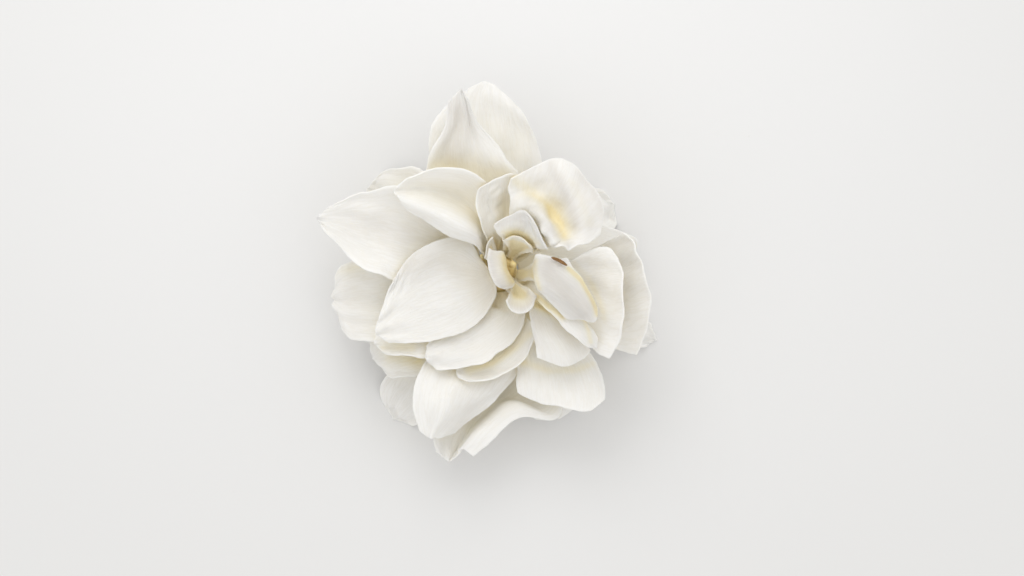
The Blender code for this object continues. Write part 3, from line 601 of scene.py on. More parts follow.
@dataclass(frozen=True)
class FloorFinish:
    """Smooth pale painted board: nearly white, with very faint clouds, specks and brush lines.

    Its tone falls off round a brightest place behind the flower: a painted pool of light.
    """

    name: str = "pale_board"
    light: Colour = (0.85, 0.846, 0.838)
    dark: Colour = (0.825, 0.822, 0.815)
    speck: Colour = (0.66, 0.64, 0.6)
    # painted falloff of light: the board darkens towards this tone away from the brightest place
    far: Colour = (0.895, 0.892, 0.885)
    painted_light_centre: tuple[float, float, float] = (0.0, 60.0 * MM, 0.0)
    painted_light_reach: float = 165.0 * MM
    clouds: Grain = Grain(7.0, 3.0, 0.5)
    lines: Grain = Grain(1.0, 2.0, 0.5, 0.0, (900.0, 14.0, 1.0))
    dust: Grain = Grain(900.0, 1.0, 0.4)
    dust_reach: Range = (0.83, 0.88)
    dust_strength: float = 0.5
    relief_depth: float = 0.02 * MM
    relief_strength: float = 0.2
    roughness: float = 0.5
    rough_clouds: float = 0.1
    rough_lines: float = 0.06
    specular: float = 0.3

    def material(self) -> bpy.types.Material:
        """Build the material.

        Returns:
            The material.
        """
        nodes = NodeSheet(self.name)
        place = nodes.place()
        clouds, lines, dust = (nodes.noise(place, grain) for grain in (self.clouds, self.lines, self.dust))
        # painted pool of light: darker away from a bright place behind the flower
        away = nodes.add("ShaderNodeVectorMath", {"operation": "DISTANCE"}, {0: place, 1: self.painted_light_centre},
                         output=1)
        colour = nodes.laid(clouds, self.dark, self.light)
        colour = nodes.laid(nodes.between(away, 0.0, self.painted_light_reach), colour, self.far, Blend.DARKEN)
        specks = self.dust_strength * nodes.between(dust, *self.dust_reach)
        colour = nodes.laid(specks, colour, self.speck)
        rough = self.roughness + self.rough_clouds * (clouds - 0.5) + self.rough_lines * (lines - 0.5)
        return nodes.finish({
            "Base Color": colour,
            "Roughness": rough,
            "Normal": nodes.relief(lines, self.relief_depth, self.relief_strength),
            "Specular IOR Level": self.specular,
        })


@dataclass(frozen=True)
class Axis:
    """The line that the petals stand round: where it starts, how it leans, and how thick the core is."""

    foot: tuple[float, float, float] = (0.0, 0.0, 8.5)
    lean: tuple[float, float] = (0.2613, 0.1375)
    profile: tuple[Range, ...] = ((0.0, 5.0), (3.0, 4.8), (7.0, 3.4), (11.0, 2.2), (13.0, 1.2))
    below: float = 1.5
    above: float = 0.8

    @property
    def ahead(self) -> Array:
        """Return the direction of the axis."""
        east, north = self.lean
        return np.array([east, north, math.sqrt(1.0 - east ** 2 - north ** 2)])

    def at(self, height: float) -> Array:
        """Return the point of the axis at a height along it."""
        return np.array(self.foot) + self.ahead * height

    def radius(self, height: Array | float) -> Array | float:
        """Return the core's radius at a height along the axis."""
        return np.interp(height, *zip(*self.profile))

    def sides(self) -> tuple[Array, Array]:
        """Return the two directions across the axis."""
        side = unit(np.cross(self.ahead, np.array([0.0, 1.0, 0.0])))
        return side, np.cross(self.ahead, side)

    def spokes(self, angle: Array) -> Array:
        """Return the directions across the axis at angles round it."""
        side, other = self.sides()
        return np.cos(angle)[:, None] * side + np.sin(angle)[:, None] * other

    def clear(self, points: Array, need: float) -> Array:
        """Move whatever would pass into the core out to its skin.

        Args:
            points: a sheet's points.
            need: how far from the core's skin they must stay.

        Returns:
            The points, moved out where they were too near.
        """
        rel = points - np.array(self.foot)
        height = rel @ self.ahead
        out = rel - height[..., None] * self.ahead
        radius = np.linalg.norm(out, axis=-1)
        beside = (height > -self.below) & (height < self.profile[-1][0] + self.above)
        want = np.where(beside, self.radius(height) + need, 0.0)
        return points + unit(out) * np.maximum(want - radius, 0.0)[..., None]


@dataclass(frozen=True)
class Petal:
    """One petal; lengths in millimetres, turns in degrees, places across from -1 to 1.

    A petal with lines runs through them, from its left margin to its right one, each from root to tip.
    One without them is laid out to both sides of its rib.
    """

    name: str
    seat: float
    rib: tuple
    face: tuple
    left: tuple
    right: tuple
    cup: tuple = (18.0, 18.0)
    crease: float = 0.0
    roll: tuple = (0.0, 0.0)
    hem: float = 0.35
    curl: float = 20.0
    curl_from: float = 0.8
    wave: tuple = (0.5, 2.0, 0.0)
    folds: tuple = ()
    root: float = 3.4
    point: float = 0.0
    rests: bool = False
    lines: tuple = ()
    places: tuple = ()

    @property
    def ring(self) -> Ring:
        """Return the ring the petal stands in."""
        return Ring(self.name.split("_")[1])

    @property
    def half_span(self) -> float:
        """Return half of the petal's full width."""
        return (max(self.left) + max(self.right)) / 2.0

    def mark(self, east: float, north: float, seat: float) -> float:
        """Return a number that differs from petal to petal, from where its tip and its seat are."""
        return east * self.rib[-1][0] + north * self.rib[-1][1] + seat * self.seat

    def half_width(self, plan: "SheetPlan", widths: Sequence[float], v: Array) -> Array:
        """Work out the half width along one side.

        Args:
            plan: how sheets are laid out.
            widths: the half widths at three places along the side.
            v: shares of the petal's length.

        Returns:
            The half width at each share.
        """
        knots = np.array(WIDTH_KNOTS)
        low = ROOT_SHARES[0] * widths[0] + ROOT_SHARES[1] * self.root / 2.0
        values = np.array([self.root / 2.0, low, *widths, widths[2] * TIP_SHARE])
        slopes = np.gradient(values, knots)
        i = np.clip(np.searchsorted(knots, v, side="right") - 1, 0, len(knots) - 2)
        h = knots[i + 1] - knots[i]
        s = (v - knots[i]) / h
        body = ((1 + 2 * s) * (1 - s) ** 2 * values[i] + s * (1 - s) ** 2 * h * slopes[i]
                + s * s * (3 - 2 * s) * values[i + 1] + s * s * (s - 1) * h * slopes[i + 1])
        close = np.clip((v - plan.closing) / (1.0 - plan.closing), 0.0, 1.0)
        rounded = np.sqrt(1.0 - ROUND_TIP * close ** TIP_POWER)
        pointed = 1.0 - POINTED_TIP * close
        return body * ((1.0 - self.point) * rounded + self.point * pointed)


def lined(name: str, seat: float, lines: tuple, places: tuple = (), **more: float | tuple) -> Petal:
    """Describe a petal by its own lines.

    Args:
        name: its name.
        seat: how high on the core it stands.
        lines: its lines from the left margin to the right one, each from root to tip.
        places: where they lie across the petal, evenly when left out.
        more: the petal's other values.

    Returns:
        The petal.
    """
    count = len(lines)
    places = places or tuple(2.0 * k / (count - 1) - 1.0 for k in range(count))
    half = max(math.dist(a, b) for a, b in zip(lines[0], lines[-1])) / 2.0
    return Petal(name, seat, lines[count // 2], (), (half,), (half,), lines=lines, places=places, **more)


PETALS: tuple[Petal, ...] = (
    # Lowest ring.
    Petal("petal_outer_nw", 0.4, ((-8, 8, 8), (-16, 14, 6.5), (-27, 19, -0.5)), ((10, -10), (0, 0)),
          (6, 8, 6), (6, 8.5, 6), (10, 10), curl=0, wave=(0.4, 2, 0.5), rests=True),
    Petal("petal_outer_sw", 0.4, ((-7, -10, 8), (-13, -20, 6), (-21.5, -31, -0.5)), ((10, 5), (0, 0)),
          (5, 6.5, 6), (5, 7.5, 6.5), (12, 12), curl=0, wave=(0.5, 2.2, 1.0), rests=True),
    Petal("petal_outer_ese", 0.4, ((10, -6, 7), (22, -10.5, 5), (35.3, -14, -0.5)), ((-5, 5), (0, 0)),
          (5, 5.5, 4.5), (4, 3.4, 2.6), (12, 12), curl=0, rests=True),
    Petal("petal_outer_ne", 0.4, ((9, 8, 7.5), (16, 11.5, 5), (26.3, 15.5, -0.5)), ((-5, -5), (0, 0)),
          (5, 7, 5), (5, 7, 6), (12, 12), curl=0, rests=True),
    Petal("petal_outer_wsw", 2.4, ((-8, -6, 10.5), (-15, -12, 11), (-26, -18, 9)), ((10, 5), (-8, 5)),
          (5, 8, 7), (5, 8, 6), (12, 12), curl=30),
    Petal("petal_outer_ene", 2.0, ((10, 3, 9.5), (21, 5, 9), (32.3, 4.3, 5)), ((-5, 0), (10, 0)),
          (5, 6, 4.5), (5, 6, 4.5), (14, 14), curl=40),
    Petal("petal_outer_sse", 0.8, ((7, -11, 6.5), (11, -21, 4.5), (14, -31.4, 5)), ((0, 6), (0, -8)),
          (5, 7, 6.5), (5, 6, 6), (14, 14), curl=40, wave=(0.6, 2, 0)),
    lined("petal_outer_ssw", 2.4, (
        ((8, -13, 9), (14.5, -23, 11), (14, -30.3, 12.5), (5.5, -30.5, 13), (0, -35.2, 12.5),
         (-6.2, -40.5, 11)),
        ((6.5, -13, 8.8), (11.5, -22.5, 10), (10, -28, 12), (4.8, -27.2, 12.6), (-1.5, -31.7, 12),
         (-7.2, -38.2, 11)),
        ((4, -13, 8.5), (5.5, -20, 7.8), (3, -24, 7), (0, -27.5, 7), (-4, -32.8, 7.6),
         (-8.5, -39.3, 9.4)),
        ((0.5, -13, 8.5), (-2, -19, 7.8), (-4, -24, 7.4), (-6, -28, 7.4), (-8.5, -34, 8),
         (-9.8, -40, 9.3)),
        ((-4, -12, 9.3), (-8, -19, 9.4), (-11, -25, 9.4), (-12.5, -30, 9.6), (-12.6, -35.4, 9.6),
         (-11, -39.8, 9.7))),
        (-1, -0.7, -0.25, 0.35, 1), wave=(0, 2, 0)),
    Petal("petal_outer_w", 2.2, ((-9, -2, 12), (-20, -4, 13.5), (-34.5, -5, 12)), ((10, 0), (-8, 4)),
          (7, 10, 9), (7, 9, 8), (20, 14), roll=(20, 20), curl=50, curl_from=0.85,
          folds=((-0.35, 0.9, 0.12), (0.3, 0.8, 0.14))),
    lined("petal_outer_n", 1.6, (
        ((-7, 14, 11), (-12.5, 24, 13), (-13.2, 31, 15), (-9.8, 36, 16), (-6, 39.4, 16.5)),
        ((-3.5, 15, 12), (-7.5, 25, 14.5), (-8, 32, 16), (-6, 37.5, 17), (-4, 40.4, 17)),
        ((0, 15, 12.5), (-1, 26, 15.5), (-1.5, 33, 16.5), (-1.5, 38, 17.5), (-1, 40.9, 17.5)),
        ((4, 14, 12.5), (5, 24, 15), (4.5, 31, 16.5), (3.5, 36, 17.5), (2, 39.2, 17.5)),
        ((7, 13, 12), (10.5, 22.5, 14), (9.3, 28.5, 16), (7.3, 33, 17), (4.6, 36.8, 17.3)))),
    # Middle ring.
    lined("petal_middle_ssw", 3.4, (
        ((5, -13, 14.5), (5.6, -20.4, 13.9), (0, -27, 12.8), (-9.7, -34.9, 12.6)),
        ((2.5, -13, 14.8), (0.6, -20.2, 15.1), (-4.2, -26.7, 15.9), (-11.2, -34.8, 14.5)),
        ((-1, -12.5, 15), (-6, -20.5, 16.6), (-8.6, -27, 19.3), (-12.4, -34.6, 16.5)),
        ((-4, -11.5, 15), (-10.5, -19.8, 17.2), (-12.8, -27, 18.8), (-13.6, -34.8, 16.5)),
        ((-6.5, -10.5, 14.8), (-15, -19.5, 16.8), (-16.8, -28, 17.3), (-14.9, -34.4, 16))),
        (-1, -0.5, -0.05, 0.45, 1), wave=(0.2, 2, 0)),
    lined("petal_middle_sse", 3.2, (
        ((14, -12, 14.5), (21.5, -17.5, 15), (24, -24, 16), (23.6, -28, 17)),
        ((11.5, -12, 14.5), (17.5, -19, 15.5), (20, -25.5, 17), (20, -29.3, 17.5)),
        ((8.5, -12, 14.5), (13, -19, 15), (14.5, -24.5, 16.5), (14.5, -28, 17)),
        ((6, -12, 14.5), (8.8, -18.5, 15), (9.8, -23.5, 15.8), (9.8, -27.4, 16)),
        ((3.5, -12, 14.5), (5, -17.5, 15), (5.2, -22, 15), (5.6, -26, 15))), wave=(0.5, 2, 1)),
    lined("petal_middle_s", 4.6, (
        ((6.5, -8, 16.2), (8.7, -10.5, 17.8), (8.9, -13, 18.4), (6.3, -18.3, 18.8), (0.5, -22, 19),
         (-6.8, -22.4, 19.5)),
        ((5, -8.5, 16.2), (6.3, -11, 16.8), (6, -14, 17), (3, -18.3, 17.2), (-1.5, -20.7, 17.6),
         (-7.4, -21.6, 18.9)),
        ((3.5, -8.5, 16), (3.5, -11.5, 16.3), (2.5, -14.5, 16.5), (-0.5, -17.5, 16.8),
         (-4, -19, 17.4), (-7.8, -20.6, 18.4)),
        ((1.5, -8, 16), (0, -10.5, 16.3), (-2, -13, 16.8), (-4, -15, 17), (-6, -17, 17.4),
         (-8, -19.2, 18))),
        wave=(0.15, 2, 0), root=2.9),
    Petal("petal_middle_wsw", 4.0, ((-6, -5, 15.5), (-14, -10, 17), (-25, -14.5, 18)), ((10, 6),
     (0, 8)),
          (6, 7, 4.5), (6, 7, 4), (20, 14)),
    Petal("petal_middle_wnw", 3.8, ((-7, 5, 17), (-19, 8.5, 19.5), (-37, 12, 21.5)), ((10, -4),
     (8, -4)),
          (8, 10, 6), (7, 11, 6.5), (14, 26), crease=14, wave=(0.4, 2, 1), point=0.8),
    Petal("petal_middle_n", 4.4, ((0, 10, 18.5), (-3, 21, 23.5), (-6.5, 38.5, 31)), ((0, -30),
     (6, -28)),
          (8, 10.5, 4.5), (9, 7, 1.6), (16, 10), roll=(10, 100), hem=0.3, curl=10, wave=(0.3, 2, 0)),
    lined("petal_middle_e", 4.0, (
        ((15, 2, 18), (22, 6, 21), (26.5, 8.3, 24.5), (28.5, 9.6, 26.5)),
        ((16, -1, 16.5), (24, 2, 18.5), (28, 4, 23.5), (30.4, 6, 27.5)),
        ((16, -4, 15.8), (24.5, -3, 17.5), (29, -2, 23), (32.2, -0.5, 27.5)),
        ((15, -7, 15.5), (23.5, -9, 17), (29, -9, 21.5), (33.6, -7.5, 25.5)),
        ((13, -10, 15), (20, -14, 16), (27, -16, 18.5), (32.4, -17, 21))), wave=(0.3, 2, 0), root=3.0),
    Petal("petal_middle_sw", 5.6, ((3, -8, 17.2), (-4, -13.5, 18.8), (-14, -18, 19.3)), ((8, 14),
     (0, 10)),
          (5, 5.5, 4), (6, 6, 4), (12, 8), curl=10),
    lined("petal_middle_w", 10.0, (
        ((0.8, -4.5, 19.3), (-4, -10.8, 20.2), (-13, -14, 20.5), (-23.5, -14.3, 21)),
        ((-0.8, -3.2, 19.8), (-8, -7.6, 20.4), (-16, -10.3, 20.7), (-24.4, -13, 21.5)),
        ((-2.2, -1.6, 20.2), (-10.5, -3.2, 20.9), (-17.5, -6, 21.2), (-24.7, -11.5, 22)),
        ((-2.6, 1.0, 20.4), (-9.5, 3.0, 21.4), (-17.3, -0.4, 21.8), (-24, -9, 22)),
        ((-2.6, 4.2, 20.6), (-5.6, 8.0, 21.6), (-11.5, 7.3, 22), (-17.4, 3.9, 22),
         (-22.5, -4.0, 22))), wave=(0.2, 2, 0), root=2.8),
    # Inner ring.
    lined("petal_inner_s", 7.0, (
        ((11.5, -6, 19.8), (16.3, -10.6, 20.4), (20, -14.6, 20.4), (21.3, -17.2, 20.2)),
        ((10.5, -6.6, 20), (14.4, -12, 21.6), (17.6, -16, 21.8), (18.6, -18.5, 21)),
        ((9.4, -7, 20), (12.2, -12.5, 22), (14.6, -16.6, 22.2), (15.4, -19.2, 21.2)),
        ((8.4, -7, 19.8), (10, -12.5, 21.4), (11.9, -16.6, 21.6), (12.4, -18.9, 20.8)),
        ((7.6, -6.8, 19.4), (8.4, -12, 20.4), (9.6, -16, 20.6), (10.2, -18.1, 20))),
        wave=(0.35, 2, 1)),
    lined("petal_inner_nw", 7.2, (
        ((-3.7, 6.3, 24), (-8, 7.9, 25.8), (-12.6, 10.4, 26.8), (-19, 14.6, 28)),
        ((-3.3, 8.3, 26.5), (-8, 11, 28.8), (-13.8, 13.4, 29.8), (-20, 16, 29.5)),
        ((-1.5, 10, 22.5), (-7, 15, 23.5), (-13, 17, 25.5), (-20.4, 17.4, 29)),
        ((0, 11.5, 23.5), (-5.5, 18.5, 26), (-12.5, 20, 27.5), (-20.2, 18.6, 29)),
        ((0.8, 12.5, 25.5), (-3, 21, 30), (-11.5, 22.2, 30.5), (-19.2, 19.8, 29.5))),
        (-1, -0.72, -0.2, 0.45, 1), wave=(0.2, 2, 0)),
    lined("petal_inner_n", 8.0, (
        ((-1.5, 8.5, 25), (-3.3, 13.5, 28), (-2.6, 18.8, 29.8)),
        ((0.3, 9.5, 24), (-0.6, 15, 25.5), (0, 20.4, 29.5)),
        ((2.5, 10, 23.6), (2.5, 15.5, 24.8), (2.8, 21, 29.3)),
        ((4.5, 9.5, 23.8), (5, 15, 25), (5.6, 21, 28.2)),
        ((6, 8.5, 24.3), (7.5, 13.5, 25.8), (8, 18.5, 26.4))), wave=(0.2, 2, 0)),
    lined("petal_inner_e", 8.0, (
        ((14, 2.6, 26), (19, 4.6, 28), (23.5, 5.8, 29.5), (26.3, 5.2, 30)),
        ((15, 0, 24), (21, 1, 25.5), (25, 1.5, 29), (27.3, 1.5, 31.3)),
        ((15, -3, 22.8), (21.2, -4, 24), (25.4, -4.5, 28), (27.4, -4.5, 31.3)),
        ((14, -5.5, 22), (20, -8.5, 23), (25, -10.5, 26), (27.8, -11, 29)),
        ((12.5, -7.5, 21.5), (18, -13, 22), (22.5, -16.5, 23.5), (26.3, -18, 25))), wave=(0.3, 2, 0)),
    lined("petal_inner_ne", 8.6, (
        ((3.8, 9.5, 25.6), (4, 14.5, 26.8), (3.4, 18, 28.2), (4.5, 21.3, 30)),
        ((6, 10.5, 26.8), (7.3, 14.8, 30.8), (8.8, 17.6, 27.6), (10, 21, 29), (11, 24.3, 28.8)),
        ((8, 10, 28), (9.9, 12.3, 32.2), (12, 14.4, 26.6), (14, 18, 30), (15.4, 21.6, 30),
         (15.9, 24, 28.5)),
        ((9.2, 8, 28.4), (11.2, 9.3, 33), (13.8, 11.2, 27), (17, 15, 30.8), (19, 18.3, 29.5),
         (20.2, 20, 28)),
        ((9.8, 6.4, 28.6), (13, 7, 33), (15.8, 8.6, 28.4), (18.8, 10.6, 30.8), (21.6, 13.3, 29.3),
         (23.9, 15, 27.5)),
        ((10.8, 5.2, 29), (14.3, 5.7, 33), (17.5, 6, 31.6), (20.6, 6.8, 30.4), (23.6, 9.6, 28))),
        (-1, -0.6, -0.2, 0.2, 0.6, 1), wave=(0.1, 2, 0), root=4.2),
    Petal("petal_inner_ese", 9.0, ((9.5, -3, 25), (14.5, -7, 29), (22.3, -15.5, 26)), ((-10, 10),
     (0, 10)),
          (1.8, 2.4, 2), (1.8, 2.4, 2), (24, 10)),
    # Heart.
    lined("petal_heart_nw", 10.6, (
        ((-0.6, 2.9, 20.6), (-1.7, 3.6, 22)),
        ((-0.4, 4, 21), (-1.6, 5.2, 23.3)),
        ((0, 5, 21.5), (-1, 7, 24.4)),
        ((0.9, 5.6, 21.5), (0.2, 8.4, 25))), wave=(0.1, 2, 0), root=2.2),
    lined("petal_heart_north", 10.0, (
        ((2.4, 6.6, 24), (1, 8.8, 28), (0.4, 10, 28.9), (0.8, 11.3, 29.5)),
        ((3.8, 7.2, 24), (3.5, 9.6, 28), (3.7, 10.8, 29), (4.3, 13, 30)),
        ((5.4, 7.2, 24), (6.4, 9.2, 28.3), (7, 10.3, 29.5), (7, 13.6, 30.9)),
        ((6.8, 6.6, 24), (8.8, 7.7, 28.6), (9.9, 8.4, 30), (9.9, 10.6, 31.5)),
        ((7.6, 5.6, 24.5), (10.3, 5.6, 29), (11.9, 5.9, 31),
         (12.3, 6.8, 31.8))), wave=(0.1, 2, 0), root=2.4),
    lined("petal_heart_east", 10.2, (
        ((8.4, 2.6, 26), (9.9, 4.4, 32.2), (13, 3.4, 31.6), (17, 0.9, 29.3), (21.5, -5, 28),
         (22.8, -9, 27.5)),
        ((8.5, 1.6, 26), (9.6, 2.4, 33), (13, 1, 32.8), (17.4, -2.8, 31.6), (20.8, -6.8, 30.8),
         (22.2, -9.6, 29.3)),
        ((8.6, 0.6, 26), (9.6, 0, 33.4), (12.8, -1.5, 33.2), (16.6, -5, 32.5), (19.4, -7.8, 31.7),
         (21, -9.8, 30)),
        ((8.7, -0.4, 26), (9.8, -1.8, 33.2), (12.4, -3.4, 32.8), (15.8, -6.2, 32), (18, -8.2, 31.2),
         (19.5, -9.8, 29.8)),
        ((8.8, -1.4, 26), (10, -3.2, 31.5), (11.5, -4.8, 31), (13.6, -7, 30.2), (15.3, -8.6, 29.6),
         (17, -9.8, 29.1))),
        wave=(0.1, 2, 0), root=2.4),
    lined("petal_heart_south", 11.2, (
        ((7.2, -2.4, 22.6), (8.4, -3.4, 26), (9.8, -4.6, 27.8)),
        ((6.6, -3, 22.5), (7.5, -4.8, 26), (8.7, -7, 28)),
        ((5.6, -3.3, 22.4), (6, -5.4, 26), (6.3, -8.1, 28)),
        ((4.7, -3.2, 22.4), (4.5, -5, 25.8), (4, -7.4, 27.8)),
        ((4.1, -2.8, 22.5), (3.6, -4, 25.4), (2.8, -5.4, 27.4))), wave=(0.1, 2, 0), root=2),
    lined("petal_heart_inner", 11.6, (
        ((3.5, 5.4, 22.3), (2.8, 6.6, 25), (2.2, 7.6, 27)),
        ((4.4, 5.7, 22.3), (4.6, 7.2, 25.2), (4.7, 8.2, 27.3)),
        ((5.3, 5.5, 22.3), (6.3, 6.8, 25.4), (7.2, 7.7, 27.6)),
        ((6, 5, 22.4), (7.5, 5.8, 25.6), (8.8, 6.4, 28)),
        ((6.4, 4.4, 22.6), (8, 4.7, 25.6), (9.4, 5, 28))), wave=(0.15, 3, 0), root=2),
    lined("petal_heart_west", 12.0, (
        ((3.6, -1.2, 22), (4.5, -1.6, 24.6), (4.5, -2.4, 26.6), (3.0, -3.4, 27.4)),
        ((2.8, -0.3, 22), (3.8, -0.5, 25), (3.7, -1.0, 27.1), (2.4, -1.6, 28.2), (0.7, -2.2, 28.2)),
        ((1.9, 0.9, 22), (3.0, 1.0, 25), (3.1, 1.0, 27.3), (1.7, 0.9, 28.6), (-0.5, 0.6, 28.5)),
        ((1.6, 2.3, 22), (2.5, 2.6, 24.8), (2.5, 2.9, 26.9), (1.0, 3.2, 28), (-1.1, 3.4, 27.8)),
        ((1.7, 3.5, 22), (2.1, 4.2, 24.2), (1.8, 4.8, 26), (0.4, 5.3, 26.8), (-1.1, 5.7, 26.7))),
        wave=(0.3, 3, 0), root=2),
)


@dataclass(frozen=True)
class SheetPlan:
    """How the middle surface of every petal is laid out, and how closely petals may lie, in millimetres."""

    axis: Axis = Axis()
    blade: float = 0.62
    root_gap: float = 0.3
    sheet_gap: float = 1.12
    floor_gap: float = 0.42
    along: int = 24
    across: tuple[float, ...] = (0.0, 0.2, 0.4, 0.58, 0.74, 0.88, 1.0)
    closing: float = 0.8
    even_share: float = 0.7
    rib_steps: int = 160
    turn_steps: int = 61
    face_turns: Range = (0.25, 0.7)
    crease_reach: float = 0.12
    hem_grows: Range = (1.3, 0.15)
    ragged: float = 0.035
    ragged_fine: float = 0.6
    ragged_waves: Range = (17.0, 31.0)
    ragged_start: Range = (2.4, 1.9)
    tip_bow: float = 0.055
    wave_power: float = 2.2
    wave_offset: float = 1.7
    folds_grow: Range = (0.25, 0.4)
    rumple: float = 0.28
    rumple_fine: float = 0.5
    rumple_waves: tuple[Range, ...] = ((0.62, 0.23), (-0.3, 0.44), (0.95, -0.5))
    rumple_marks: tuple = ((0.7, 0.0, 1.0), (0.0, 0.9, -1.0))
    rumple_grows: Range = (0.15, 0.5)
    rounds: int = 60
    free_from: float = 0.12
    tip_freedom: float = 0.9
    root_freedom: float = 0.1
    own_move: float = 0.35
    soft_passes: int = 3
    beside: float = 0.95
    deepest: float = -5.0
    search: float = 2.0

    @property
    def fractions(self) -> Array:
        """Return the places of the columns of one side, past the middle."""
        return np.array(self.across[1:])

    @property
    def spread(self) -> Array:
        """Return the places of a sheet's columns, from -1 to 1."""
        return np.concatenate([-self.fractions[::-1], [0.0], self.fractions])

    @property
    def fine_rows(self) -> int:
        """Return how many rows a sheet has while it is laid out."""
        return 4 * self.along + 1

    def rows(self, along: int) -> Array:
        """Work out at which shares of the length the rows stand, closer together at the tip.

        Args:
            along: how many rows there are past the root.

        Returns:
            The shares, from nought to one.
        """
        low = int(round(along * self.even_share))
        body = np.linspace(0.0, self.closing, low, endpoint=False)
        end = np.sin(np.linspace(0.0, math.pi / 2.0, along - low + 1))
        return np.concatenate([body, self.closing + (1.0 - self.closing) * end])

    def root_point(self, petal: Petal) -> Array:
        """Find where a petal's root stands beside the core.

        Args:
            petal: the petal.

        Returns:
            The middle of its root.
        """
        centre = self.axis.at(petal.seat)
        out = np.array(petal.rib[0], float) - centre
        out = unit(out - self.axis.ahead * (out @ self.axis.ahead))
        return centre + out * (self.axis.radius(petal.seat) + self.root_gap + self.blade / 2.0)

    def rib_of(self, petal: Petal) -> tuple[Array, Array, Array, Array]:
        """Lay out the middle line of a petal.

        Args:
            petal: the petal.

        Returns:
            Shares of the length, points of the line, and at each the facing and the direction aside.
        """
        count = self.rib_steps
        rib = curve([self.root_point(petal)] + list(petal.rib), count)
        v = np.linspace(0.0, 1.0, count)
        ahead = unit(np.gradient(rib, axis=0))
        turn_from, turn_over = self.face_turns
        share = ease((v - turn_from) / turn_over)[:, None]
        face = leaning(*petal.face[0]) * (1.0 - share) + leaning(*petal.face[1]) * share
        face = unit(face - ahead * (face * ahead).sum(axis=1, keepdims=True))
        bend = math.radians(petal.curl) * ease((v - petal.curl_from) / (1.0 - petal.curl_from))[:, None]
        turned = ahead * np.cos(bend) - face * np.sin(bend)
        face = face * np.cos(bend) + ahead * np.sin(bend)
        step = np.linalg.norm(rib[1] - rib[0])
        for i in range(int(petal.curl_from * count), count):
            rib[i] = rib[i - 1] + 0.5 * (turned[i] + turned[i - 1]) * step
        at = np.linspace(0.0, 1.0, self.fine_rows)
        rib, face, aside = (read_line(at, v, line) for line in (rib, face, np.cross(turned, face)))
        return at, rib, unit(face), unit(aside)

    def through_lines(self, petal: Petal) -> tuple[Array, Array]:
        """Lay out a petal through its own lines.

        Args:
            petal: the petal.

        Returns:
            Its points and their facing, before the petal is bowed at its tip.
        """
        root = self.root_point(petal)
        aside = unit(np.cross(root - self.axis.at(petal.seat), self.axis.ahead))
        starts = [root + aside * place * petal.root / 2.0 for place in petal.places]
        lines = [curve([start] + list(line), self.fine_rows) for start, line in zip(starts, petal.lines)]
        points = np.einsum("jk,kic->ijc", spline_weights(petal.places, self.spread), np.array(lines))
        return points, normals_of(points)

    def by_its_rib(self, petal: Petal) -> tuple[Array, Array]:
        """Lay out a petal to both sides of its rib.

        Args:
            petal: the petal.

        Returns:
            Its points and their facing, before the petal is bowed at its tip.
        """
        at, rib, face, aside = self.rib_of(petal)
        middle = len(self.fractions)
        points = np.zeros((len(at), 2 * middle + 1, 3))
        points[:, middle] = rib
        (coarse, fine), (by_seat, by_side) = self.ragged_waves, self.ragged_start
        for side, sign, widths in ((0, -1.0, petal.left), (1, 1.0, petal.right)):
            start = by_seat * petal.seat + by_side * sign + petal.rib[-1][0]
            ragged = (1.0 + self.ragged * np.sin(coarse * at + start)
                      + self.ragged_fine * self.ragged * np.sin(fine * at - start))
            columns = middle + (sign * np.arange(1, middle + 1)).astype(int)
            for i, wide in enumerate(petal.half_width(self, widths, at) * ragged):
                out, up = self.section(petal, side, wide, min(1.0, wide / max(widths)))
                points[i, columns] = rib[i] + sign * out[:, None] * aside[i] + up[:, None] * face[i]
        return points, np.repeat(face[:, None], 2 * middle + 1, axis=1)

    def section(self, petal: Petal, side: int, wide: float, part: float) -> tuple[Array, Array]:
        """Bend one side of a petal across, with its cup, its crease and its rolled hem.

        Args:
            petal: the petal.
            side: 0 for the left side, 1 for the right one.
            wide: how wide the side is here.
            part: what share of its full width that is.

        Returns:
            How far out and how far up the columns of the side stand.
        """
        q = np.linspace(0.0, 1.0, self.turn_steps)
        turn = math.radians(petal.cup[side]) * q * part
        turn = turn + math.radians(petal.crease) * (1.0 - np.exp(-q / self.crease_reach)) * part
        hem = ease((q - (1.0 - petal.hem)) / petal.hem)
        times, less = self.hem_grows
        turn = turn - math.radians(petal.roll[side]) * hem * ease(part * times - less)
        ways = []
        for slope in (np.cos(turn), np.sin(turn)):
            way = np.concatenate([[0.0], np.cumsum((slope[1:] + slope[:-1]) / 2.0)])
            ways.append(np.interp(self.fractions, q, way) * q[1] * wide)
        return ways[0], ways[1]

    def sheet(self, petal: Petal) -> Array:
        """Lay out a petal's middle surface.

        Args:
            petal: the petal.

        Returns:
            Its points, as rows from root to tip and columns from side to side.
        """
        points, face = self.through_lines(petal) if petal.lines else self.by_its_rib(petal)
        points = points + self._uneven(petal, points)[..., None] * face
        at = np.linspace(0.0, 1.0, len(points))
        rows = self.rows(self.along)
        backs = [rows * (1.0 - self.tip_bow * place * place * rows ** 4) for place in self.spread]
        return np.stack([read_line(back, at, points[:, j]) for j, back in enumerate(backs)], axis=1)

